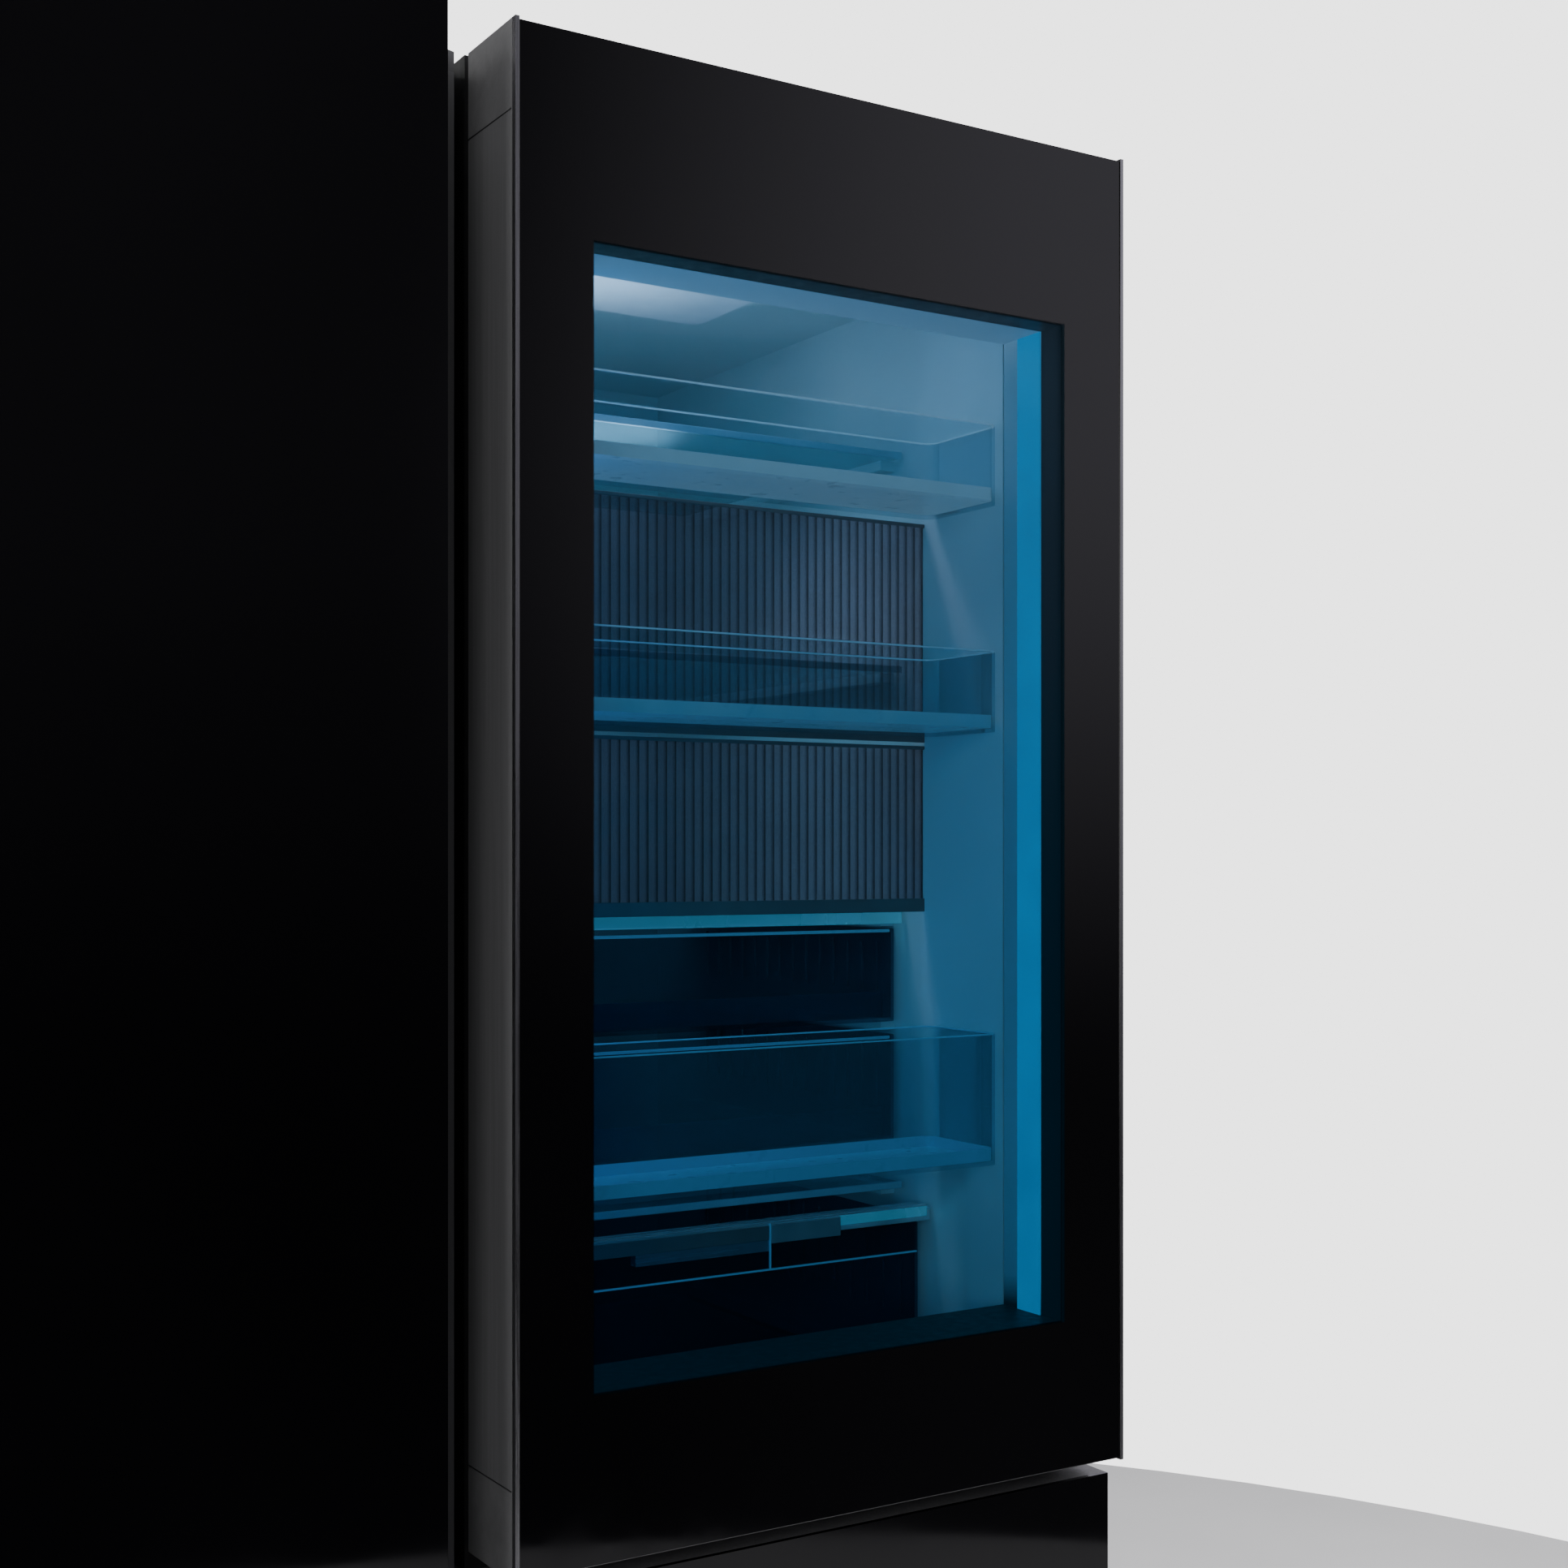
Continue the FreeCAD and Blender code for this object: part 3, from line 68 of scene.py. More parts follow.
class Look:
    """A node material under construction, with shorthands for the nodes used here."""

    def __init__(self, name):
        self.material = bpy.data.materials.new(name)
        self.material.use_nodes = True
        self.tree = self.material.node_tree
        self.shader = self.tree.nodes["Principled BSDF"]
        self.output = self.tree.nodes["Material Output"]
        self.place = self.node("ShaderNodeTexCoord").outputs["Object"]

    def node(self, kind, **settings):
        """A new node of some kind."""
        made = self.tree.nodes.new(kind)
        for key, value in settings.items():
            setattr(made, key, value)
        return made

    def join(self, start, end):
        """A link between two sockets."""
        self.tree.links.new(start, end)

    def noise(self, scale, stretch=(1, 1, 1), detail=4.0):
        """Noise in the object's own space, at so many features per metre."""
        mapping = self.node("ShaderNodeMapping")
        mapping.inputs["Scale"].default_value = stretch
        self.join(self.place, mapping.inputs["Vector"])
        texture = self.node("ShaderNodeTexNoise")
        texture.inputs["Scale"].default_value = scale
        texture.inputs["Detail"].default_value = detail
        self.join(mapping.outputs["Vector"], texture.inputs["Vector"])
        return texture.outputs["Fac"]

    def ramp(self, value, stops):
        """Colours along a value."""
        made = self.node("ShaderNodeValToRGB")
        ramp = made.color_ramp
        while len(ramp.elements) < len(stops):
            ramp.elements.new(0.5)
        for element, (place, colour) in zip(ramp.elements, stops):
            element.position = place
            element.color = (*colour, 1)
        self.join(value, made.inputs["Fac"])
        return made.outputs["Color"]

    def spread(self, value, low, high, start=0.3, end=0.7):
        """A value carried from one range to another."""
        made = self.node("ShaderNodeMapRange")
        made.inputs["From Min"].default_value = start
        made.inputs["From Max"].default_value = end
        made.inputs["To Min"].default_value = low
        made.inputs["To Max"].default_value = high
        self.join(value, made.inputs["Value"])
        return made.outputs["Result"]

    def math(self, operation, *values, clamp=False):
        """Arithmetic on numbers and on other nodes' values."""
        made = self.node("ShaderNodeMath", operation=operation, use_clamp=clamp)
        for socket, value in zip(made.inputs, values):
            if isinstance(value, (int, float)):
                socket.default_value = value
            else:
                self.join(value, socket)
        return made.outputs["Value"]

    def see_through(self, tint):
        """A clear shader with one tint or with a tint from another node."""
        made = self.node("ShaderNodeBsdfTransparent")
        if isinstance(tint, tuple):
            made.inputs["Color"].default_value = (*tint, 1)
        else:
            self.join(tint, made.inputs["Color"])
        return made.outputs["BSDF"]

    def mix(self, amount, first, second):
        """A blend of two shaders."""
        made = self.node("ShaderNodeMixShader")
        for socket, value in zip(made.inputs, (amount, first, second)):
            self.join(value, socket)
        return made.outputs["Shader"]

    def facing(self, blend):
        """How far the surface turns away from the viewer."""
        made = self.node("ShaderNodeLayerWeight")
        made.inputs["Blend"].default_value = blend
        return made.outputs["Facing"]

    def bump(self, value, strength, distance=0.0004):
        """Fine relief on the main shader."""
        made = self.node("ShaderNodeBump")
        made.inputs["Strength"].default_value = strength
        made.inputs["Distance"].default_value = distance
        self.join(value, made.inputs["Height"])
        self.join(made.outputs["Normal"], self.shader.inputs["Normal"])

    def axes(self):
        """The x, y and z of the object's own space."""
        made = self.node("ShaderNodeSeparateXYZ")
        self.join(self.place, made.inputs["Vector"])
        return made.outputs["X"], made.outputs["Y"], made.outputs["Z"]


def textured(name, dark, light, scale, rough, stretch=(1, 1, 1), metallic=0.0, grain=0.2,
             grain_scale=900, glow=None):
    """A solid material with mottled colour, uneven roughness and a fine bump."""
    look = Look(name)
    colour = look.ramp(look.noise(scale, stretch), [(0.3, dark), (0.7, light)])
    look.join(colour, look.shader.inputs["Base Color"])
    look.join(look.spread(look.noise(scale * 3, stretch), *rough), look.shader.inputs["Roughness"])
    look.bump(look.noise(grain_scale, stretch, 2), grain)
    look.shader.inputs["Metallic"].default_value = metallic
    if glow:
        look.join(colour, look.shader.inputs["Emission Color"])
        look.shader.inputs["Emission Strength"].default_value = glow
    return look.material


def clear(name, tint, shine, haze, rough=0.08, edge=0.35):
    """A thin clear sheet: mostly see-through, brighter where it is seen edge on, slightly hazy."""
    look = Look(name)
    brighter = [min(1, channel * 1.15) for channel in shine]
    look.join(look.ramp(look.noise(40), [(0.3, shine), (0.7, brighter)]),
              look.shader.inputs["Base Color"])
    look.join(look.spread(look.noise(160), rough, rough * 1.8), look.shader.inputs["Roughness"])
    solid_share = look.math("MULTIPLY_ADD", look.facing(0.35), edge, haze)
    sheet = look.mix(solid_share, look.see_through(tint), look.shader.outputs["BSDF"])
    look.join(sheet, look.output.inputs["Surface"])
    return look.material


def front_glass():
    """The outer door's glass: printed black at the border, tinted clear in the window."""
    look = Look("front_glass_print")
    low, high = corners("outer_door_inner_pane")
    x, _, z = look.axes()
    soft = 0.0012
    inside = None
    for value, start, end in ((x, low.x, high.x), (z, low.z, high.z)):
        for edge, sign in ((start, 1), (end, -1)):
            past = look.math("MULTIPLY_ADD", value, sign / soft, -sign * edge / soft, clamp=True)
            inside = past if inside is None else look.math("MINIMUM", inside, past)
    colour = look.ramp(look.noise(3.0), [(0.3, GLASS_BLACK), (0.7, GLASS_BLACK_LIGHT)])
    look.join(colour, look.shader.inputs["Base Color"])
    look.join(look.spread(look.noise(30), 0.035, 0.07), look.shader.inputs["Roughness"])
    look.shader.inputs["IOR"].default_value = 1.5
    look.bump(look.noise(5.0, detail=1), 0.03, 0.0006)
    gloss = look.node("ShaderNodeBsdfGlossy")
    gloss.inputs["Roughness"].default_value = 0.04
    fresnel = look.node("ShaderNodeFresnel")
    fresnel.inputs["IOR"].default_value = 1.18
    pane = look.mix(fresnel.outputs["Fac"], look.see_through((0.64, 0.8, 0.88)),
                    gloss.outputs["BSDF"])
    look.join(look.mix(inside, look.shader.outputs["BSDF"], pane), look.output.inputs["Surface"])
    return look.material


def fluted_glass():
    """Ribbed glass: each rib is clear along its crest and dark down its slopes, a painted shade by
    viewing angle that stands in for the light the ribs bend aside.
    """
    look = Look("fluted_glass")
    crest, shoulder, slope = (0.95, 0.8, 0.82), (0.22, 0.22, 0.26), (0.01, 0.012, 0.02)
    # Painted shade: the see-through tint darkens as the rib turns away from the viewer.
    tint = look.ramp(look.facing(0.5), [(0.1, crest), (0.4, shoulder), (0.75, slope)])
    look.join(look.ramp(look.noise(50), [(0.3, (0.07, 0.1, 0.12)), (0.7, (0.1, 0.13, 0.15))]),
              look.shader.inputs["Base Color"])
    look.join(look.spread(look.noise(200), 0.12, 0.2), look.shader.inputs["Roughness"])
    solid_share = look.spread(look.noise(12), 0.14, 0.22)
    sheet = look.mix(solid_share, look.see_through(tint), look.shader.outputs["BSDF"])
    look.join(sheet, look.output.inputs["Surface"])
    return look.material


def galvanised():
    """Zinc-coated sheet with its patchwork of crystals."""
    look = Look("galvanised_steel")
    cells = look.node("ShaderNodeTexVoronoi")
    cells.inputs["Scale"].default_value = 90
    look.join(look.place, cells.inputs["Vector"])
    grey = look.node("ShaderNodeSeparateColor")
    look.join(cells.outputs["Color"], grey.inputs["Color"])
    value = grey.outputs["Red"]
    look.join(look.ramp(value, [(0, (0.36, 0.37, 0.38)), (1, (0.52, 0.53, 0.54))]),
              look.shader.inputs["Base Color"])
    look.join(look.spread(value, 0.32, 0.5, 0, 1), look.shader.inputs["Roughness"])
    look.shader.inputs["Metallic"].default_value = 0.9
    look.bump(look.noise(400), 0.1)
    return look.material


def plastic_with_painted_light():
    """Frosted plastic with painted light: painted bluish low in the storage case and whiter
    towards the lamp at its top, and glowing in that colour though it is no lamp.
    """
    look = Look("plastic_with_painted_light")
    _, _, z = look.axes()
    low, high = corners("fridge_door_case")
    height = look.spread(z, 0, 1, low.z, high.z)
    cloud = look.math("MULTIPLY_ADD", look.noise(25), 0.1, height)
    # Painted light: blue low down to near white at the top, and the same colour glows.
    colour = look.ramp(cloud, [(0.1, (0.07, 0.26, 0.42)), (0.6, (0.13, 0.32, 0.46)),
                               (0.86, (0.62, 0.68, 0.74))])
    look.join(colour, look.shader.inputs["Base Color"])
    look.join(colour, look.shader.inputs["Emission Color"])
    look.shader.inputs["Emission Strength"].default_value = 0.3
    look.join(look.spread(look.noise(80), 0.25, 0.4), look.shader.inputs["Roughness"])
    look.bump(look.noise(900), 0.15)
    return look.material


def window_reveal():
    """The window's lining: black round the glazing, then white, with painted shade low down near
    the sill and a painted glow at the top.
    """
    look = Look("window_reveal_bands_and_painted_light")
    _, y, z = look.axes()
    start = corners("outer_door_inner_pane")[1].y
    reveal_low, reveal_high = corners("outer_door_window_liner")
    edge, fade = 0.004, 0.03
    # Painted shade: the white lining darkens over its lowest few centimetres.
    sill = look.spread(z, 0.06, 1.0, reveal_low.z + edge, reveal_low.z + fade)
    step = look.math("MULTIPLY", look.math("GREATER_THAN", y, start), sill)
    cloud = look.spread(look.noise(60), 0.9, 1.0)
    value = look.math("MULTIPLY", step, cloud)
    look.join(look.ramp(value, [(0.1, (0.004, 0.004, 0.005)), (0.9, (0.42, 0.5, 0.55))]),
              look.shader.inputs["Base Color"])
    # Painted light: the lining glows near its top edge.
    near_top = look.spread(z, 0.0, 1.0, reveal_high.z - fade, reveal_high.z - edge)
    painted_top_glow = look.math("MULTIPLY", value, near_top)
    look.join(look.ramp(painted_top_glow, [(0.1, (0.0, 0.012, 0.02)), (0.9, (0.1, 0.13, 0.17))]),
              look.shader.inputs["Emission Color"])
    look.shader.inputs["Emission Strength"].default_value = 0.8
    look.join(look.spread(look.noise(120), 0.4, 0.55), look.shader.inputs["Roughness"])
    look.shader.inputs["Specular IOR Level"].default_value = 0.15
    look.bump(look.noise(1500), 0.05)
    return look.material


BLACK_PLASTIC = textured("black_plastic", (0.007, 0.007, 0.008), (0.012, 0.012, 0.013), 40,
                         (0.38, 0.52), grain=0.25)
WHITE_PLASTIC = textured("white_plastic", (0.74, 0.77, 0.79), (0.8, 0.82, 0.84), 18, (0.34, 0.46),
                         grain=0.12, grain_scale=1400)
LOOKS = {
    "painted_steel": textured("painted_steel", (0.019, 0.019, 0.021), (0.023, 0.023, 0.025), 12,
                              (0.38, 0.43), grain=0.07, grain_scale=1100),
    "galvanised_steel": galvanised(),
    "dark_nylon": textured("dark_nylon", (0.02, 0.02, 0.021), (0.035, 0.035, 0.036), 60,
                           (0.5, 0.65)),
    "white_liner": textured("white_liner", (0.72, 0.76, 0.78), (0.79, 0.82, 0.84), 9, (0.3, 0.42),
                            grain=0.1, grain_scale=1200),
    "insulation_foam": textured("insulation_foam", (0.6, 0.5, 0.26), (0.75, 0.66, 0.4), 120,
                                (0.8, 0.95), grain=0.8, grain_scale=400),
    "black_plastic": BLACK_PLASTIC,
    "compressor_paint": textured("compressor_paint", (0.008, 0.008, 0.008), (0.02, 0.02, 0.02), 30,
                                 (0.3, 0.5), grain=0.3),
    "coil_aluminium": textured("coil_aluminium", (0.45, 0.46, 0.48), (0.65, 0.66, 0.68), 200,
                               (0.3, 0.5), metallic=0.9),
    "white_plastic": WHITE_PLASTIC,
    "lamp_lens": textured("lamp_lens", (0.9, 0.84, 0.92), (1.0, 0.9, 0.96), 60, (0.3, 0.4),
                          grain=0.3, glow=0.05),
    "shelf_glass": clear("shelf_glass", (0.8, 0.92, 0.94), (0.5, 0.72, 0.78), 0.05, edge=0.3),
    "clear_plastic": clear("clear_plastic", (0.88, 0.94, 0.96), (0.3, 0.45, 0.52), 0.03,
                           rough=0.12, edge=0.16),
    "silver_trim": textured("silver_trim", (0.6, 0.63, 0.66), (0.72, 0.75, 0.78), 60, (0.22, 0.3),
                            stretch=(0.02, 1, 1), metallic=0.6, grain=0.03),
    "black_glass": textured("black_glass", GLASS_BLACK, GLASS_BLACK_LIGHT, 3,
                            (0.035, 0.07), grain=0.02, grain_scale=5),
    "dark_side_metal": textured("dark_side_metal", (0.15, 0.15, 0.154), (0.18, 0.18, 0.185),
                                220, (0.36, 0.5), stretch=HAIRLINE, metallic=0.25, grain=0.12),
    "dark_plastic_caps": textured("dark_plastic_caps", (0.12, 0.12, 0.123), (0.14, 0.14, 0.143),
                                  40, (0.42, 0.56), grain=0.25),
    "gasket_rubber": textured("gasket_rubber", (0.006, 0.006, 0.006), (0.014, 0.014, 0.014), 80,
                              (0.6, 0.8), grain=0.3),
    "front_glass": front_glass(),
    "edge_metal": textured("edge_metal", (0.28, 0.28, 0.29), (0.36, 0.36, 0.37), 260,
                           (0.22, 0.34), stretch=HAIRLINE, metallic=1.0, grain=0.06),
    "pane_glass": clear("pane_glass", (0.93, 0.97, 0.98), (0.1, 0.2, 0.24), 0.004, rough=0.03,
                        edge=0.03),
    "window_reveal": window_reveal(),
}
for row in frame["record"]["subparts"]:
    part = NODES[row["node"]]
    part.data.materials.clear()
    part.data.materials.append(LOOKS[row["material_slot"]])

PAINTED_LIGHT_PLASTIC = plastic_with_painted_light()
# Painted highlight: the trim's cyan-white colour and its glow stand in for light caught on the
# metal.
PAINTED_HIGHLIGHT_TRIM = textured("painted_highlight_trim", (0.2, 0.62, 0.72), (0.3, 0.76, 0.86), 8, (0.2, 0.3),
                       stretch=(0.6, 0.2, 0.2), metallic=0.4, grain=0.03, glow=0.16)
FROSTED = textured("frosted_plastic", (0.42, 0.56, 0.64), (0.52, 0.66, 0.74), 30, (0.3, 0.45),
                   grain=0.2, grain_scale=1500)
FLUTED = fluted_glass()
# Painted light: strips that glow on the window's lining.
PAINTED_GLOW_STRIP = textured("painted_glow_strip", (0.0, 0.21, 0.38), (0.006, 0.25, 0.44), 20, (0.3, 0.4),
                       grain=0.1, glow=0.85)
LED_STRIP = textured("led_strip", (0.1, 0.55, 1.0), (0.16, 0.62, 1.0), 50, (0.3, 0.4), glow=4.0)
SCREW = textured("screw_steel", (0.3, 0.3, 0.31), (0.5, 0.5, 0.51), 500, (0.25, 0.4),
                 metallic=1.0)
DARK_PLASTIC = LOOKS["dark_plastic_caps"]
GREY = textured("grey_plastic", (0.2, 0.22, 0.24), (0.26, 0.28, 0.3), 40, (0.35, 0.5))
# Painted shade: a dark see-through tint on the drawers, standing in for the shade inside them.
SHADE_TINTED_PLASTIC = clear("shade_tinted_plastic", (0.6, 0.68, 0.74), (0.08, 0.12, 0.15), 0.03, rough=0.1,
               edge=0.12)
MISTED = clear("misted_band", (0.6, 0.68, 0.74), (0.3, 0.42, 0.5), 0.22, rough=0.35, edge=0.1)


# ------------------------------------------------------------------ shapes


def piece(name, mesh, look, node, smooth=False):
    """A finished mesh as a named object that rides with a CAD node's body and wears the given
    look.
    """
    data = bpy.data.meshes.new(name)
    mesh.to_mesh(data)
    mesh.free()
    if smooth:
        data.shade_smooth()
        data.set_sharp_from_angle(angle=math.radians(40))
    data.materials.append(look)
    made = bpy.data.objects.new(name, data)
    bpy.context.scene.collection.objects.link(made)
    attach(made, BODY_OF[node])
    return made


def add_block(mesh, low, high, bevel=0.0006):
    """A block with softened edges between two corners."""
    middle = (Vector(low) + Vector(high)) / 2
    size = Vector(high) - Vector(low)
    made = bmesh.ops.create_cube(mesh, size=1.0, matrix=Matrix.Translation(middle)
                                 @ Matrix.Diagonal((*size, 1)))
    edges = {edge for vert in made["verts"] for edge in vert.link_edges}
    bmesh.ops.bevel(mesh, geom=list(edges), offset=min(bevel, min(size) * 0.4), segments=2,
                    affect="EDGES", profile=0.6)


def blocks(name, spans, look, node, bevel=0.0006):
    """Several softened blocks as one piece."""
    mesh = bmesh.new()
    for low, high in spans:
        add_block(mesh, low, high, bevel)
    piece(name, mesh, look, node)


def rounded(low, high, radius):
    """The outline of a rectangle with rounded corners, anticlockwise."""
    steps = 6
    left, right = low[0] + radius, high[0] - radius
    front, back = low[1] + radius, high[1] - radius
    points = []
    quarters = ((right, back, 0), (left, back, 90), (left, front, 180), (right, front, 270))
    for x, y, start in quarters:
        for step in range(steps + 1):
            angle = math.radians(start + 90 * step / steps)
            points.append((x + radius * math.cos(angle), y + radius * math.sin(angle)))
    return points


def add_wall(mesh, outer, inner, bottom, top):
    """A closed wall between two outlines with the same number of points."""
    loops = []
    for outline, z in ((outer, bottom), (outer, top), (inner, top), (inner, bottom)):
        loops.append([mesh.verts.new((x, y, z)) for x, y in outline])
    for first, second in zip(loops, loops[1:] + loops[:1]):
        for i in range(len(first)):
            j = (i + 1) % len(first)
            mesh.faces.new((first[i], first[j], second[j], second[i]))


def add_plate(mesh, outline, bottom, top):
    """A flat plate with an outline."""
    low = [mesh.verts.new((x, y, bottom)) for x, y in outline]
    high = [mesh.verts.new((x, y, top)) for x, y in outline]
    mesh.faces.new(list(reversed(low)))
    mesh.faces.new(high)
    for i in range(len(low)):
        j = (i + 1) % len(low)
        mesh.faces.new((low[i], low[j], high[j], high[i]))


def shrink(low, high, amount):
    """Both corners moved inwards in plan."""
    return ((low[0] + amount, low[1] + amount), (high[0] - amount, high[1] - amount))


def solids(node):
    """The boxes of a node's separate solids, from its mesh's loose parts."""
    mesh = bmesh.new()
    mesh.from_mesh(NODES[node].data)
    bmesh.ops.remove_doubles(mesh, verts=mesh.verts, dist=1e-5)
    left = set(mesh.verts)
    found = []
    while left:
        group, queue = set(), [left.pop()]
        while queue:
            vert = queue.pop()
            group.add(vert)
            for edge in vert.link_edges:
                other = edge.other_vert(vert)
                if other in left:
                    left.discard(other)
                    queue.append(other)
        places = [vert.co for vert in group]
        found.append((Vector(map(min, *places)), Vector(map(max, *places))))
    mesh.free()
    return sorted(found, key=lambda pair: (round(pair[0].z, 4), round(pair[0].x, 4)))


def round_bar(mesh, start, end, radius, sides=16):
    """A round bar between two points."""
    run = Vector(end) - Vector(start)
    turn = run.to_track_quat("Z", "Y").to_matrix().to_4x4()
    place = Matrix.Translation((Vector(start) + Vector(end)) / 2) @ turn
    bmesh.ops.create_cone(mesh, cap_ends=True, segments=sides, radius1=radius, radius2=radius,
                          depth=run.length, matrix=place)


# ------------------------------------------------------------------ bins and drawers


PAINTED_LIGHT_BINS = ("door_bin_upper", "door_bin_middle", "door_bin_lower")
SHALLOW_DRAWERS = ("chiller_drawer", "deli_drawer")
DEEP_DRAWERS = ("crisper_upper", "crisper_lower", "freezer_drawer_upper", "freezer_drawer_lower")


def bin_details(node):
    """A frosted base inside each clear bin and a bright rolled rim round its top; in the three
    upper bins both carry painted light.
    """
    wall, floor, radius = 0.0025, 0.003, 0.012
    base_height, skin, gap, lift = 0.013, 0.0012, 0.0003, 0.0002
    rim_inset, rim_overhang, rim_sunk, rim_proud = 0.0004, 0.0006, 0.0001, 0.0009
    inner_radius = radius - wall
    base = bmesh.new()
    rim = bmesh.new()
    for low, high in solids(node):
        bottom = low.z + floor + lift
        outline = rounded(*shrink(low, high, wall + gap), inner_radius)
        core = rounded(*shrink(low, high, wall + gap + skin), inner_radius - skin)
        add_plate(base, outline, bottom, bottom + skin)
        add_wall(base, outline, core, bottom + skin, low.z + base_height)
        outer = rounded(*shrink(low, high, rim_inset), radius)
        inner = rounded(*shrink(low, high, wall + rim_overhang), inner_radius)
        add_wall(rim, outer, inner, high.z - rim_sunk, high.z + rim_proud)
    look = PAINTED_LIGHT_PLASTIC if node in PAINTED_LIGHT_BINS else FROSTED
    piece(f"{node}_base", base, look, node)
    piece(f"{node}_rim", rim, look, node)


def fluted_panes():
    """The storage case's back covers, ribbed from top to bottom."""
    pitch, rib_height, rib_base, facets, fullness = 0.0082, 0.0013, 0.0014, 8, 0.7
    above, below, overlap, proud = 0.003, 0.007, 0.004, 0.0015
    mesh = bmesh.new()
    rails = []
    for low, high in solids("fluted_covers"):
        count = round((high.x - low.x) / pitch)
        step = (high.x - low.x) / count
        valley = low.y + rib_base
        front = []
        for rib in range(count):
            for facet in range(facets):
                share = facet / facets
                rise = rib_height * math.sin(math.pi * share) ** fullness
                front.append((low.x + (rib + share) * step, valley - rise))
        front.append((high.x, valley))
        outline = [(low.x, high.y), *front, (high.x, high.y)]
        outline.reverse()
        add_plate(mesh, outline, low.z, high.z)
        for bottom, top in ((low.z - below, low.z + overlap), (high.z - above, high.z)):
            rails.append(((low.x, low.y - proud, bottom), (high.x, low.y, top)))
    made = piece("fluted_pane_pair", mesh, FLUTED, "fluted_covers", smooth=True)
    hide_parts("fluted_covers")
    blocks("fluted_pane_rails", rails, DARK_PLASTIC, "fridge_door_case")


def shelf_trims():
    """A slim moulding along the front of each shelf; above the chiller drawer, metal made bright
    with a painted highlight.
    """
    chiller_top = corners("chiller_drawer")[1].z
    close, deep, slim, proud = 0.02, 0.0055, 0.001, 0.003
    for node in ("fridge_shelves", "freezer_shelves"):
        plain, bright = [], []
        for low, high in solids(node):
            on_chiller = node == "fridge_shelves" and 0 < low.z - chiller_top < close
            reach = deep if on_chiller else slim
            span = ((low.x, low.y - proud, low.z - reach), (high.x, low.y, high.z + slim))
            (bright if on_chiller else plain).append(span)
        blocks(f"{node}_trims", plain, FROSTED, node, 0.001)
        # The trim above the chiller takes the painted highlight.
        if bright:
            blocks("chiller_shelf_trim", bright, PAINTED_HIGHLIGHT_TRIM, node, 0.002)


def painted_highlight_line(node):
    """A bright painted highlight line along the top of a shallow drawer's front."""
    low, high = corners(node)
    inset, proud, deep = 0.012, 0.002, 0.0026
    line = [((low.x + inset, low.y - proud, high.z - deep), (high.x - inset, low.y, high.z))]
    blocks(f"{node}_painted_highlight_line", line, PAINTED_LIGHT_PLASTIC, node, 0.0008)


def front_rail(node):
    """A frosted rail and a wide grip along the top of a deep drawer's front."""
    low, high = corners(node)
    middle = (low.x + high.x) / 2
    inset, proud, deep = 0.012, 0.003, 0.007
    half_grip, grip_front, grip_back, grip_bottom, grip_top = 0.06, 0.008, 0.001, 0.014, 0.002
    rail = ((low.x + inset, low.y - proud, high.z - deep), (high.x - inset, low.y, high.z))
    grip = ((middle - half_grip, low.y - grip_front, high.z - grip_bottom),
            (middle + half_grip, low.y - grip_back, high.z - grip_top))
    blocks(f"{node}_front_rail", [rail, grip], FROSTED, node, 0.0015)


def band_and_ribs(node):
    """A misted band low on a drawer's front, and ribs inside its two sides."""
    low, high = corners(node)
    tallest, share = 0.05, 0.32
    band_top = low.z + min(tallest, (high.z - low.z) * share)
    inset, floor, wall, film = 0.016, 0.004, 0.0032, 0.0008
    band = [((low.x + inset, low.y + wall, low.z + floor),
             (high.x - inset, low.y + wall + film, band_top))]
    blocks(f"{node}_front_band", band, MISTED, node, 0.0002)
    count, end_gap, top_gap = 14, 0.03, 0.012
    side, rib_depth, half_width = 0.0026, 0.0016, 0.001
    start, end = low.y + end_gap, high.y - end_gap
    ribs = []
    for rib in range(count):
        y = start + (end - start) * rib / (count - 1)
        for x in (low.x + side, high.x - side - rib_depth):
            ribs.append(((x, y - half_width, band_top),
                         (x + rib_depth, y + half_width, high.z - top_gap)))
    blocks(f"{node}_side_ribs", ribs, MISTED, node, 0.0004)


def drawer_details():
    """Fronts, bands and ribs on the clear drawers, which all get a dark see-through tint as
    painted shade.
    """
    for node in SHALLOW_DRAWERS:
        painted_highlight_line(node)
    for node in DEEP_DRAWERS:
        front_rail(node)
    for node in (*SHALLOW_DRAWERS, "vegetable_drawer", *DEEP_DRAWERS):
        band_and_ribs(node)
        NODES[node].data.materials[0] = SHADE_TINTED_PLASTIC
    vegetable_front()


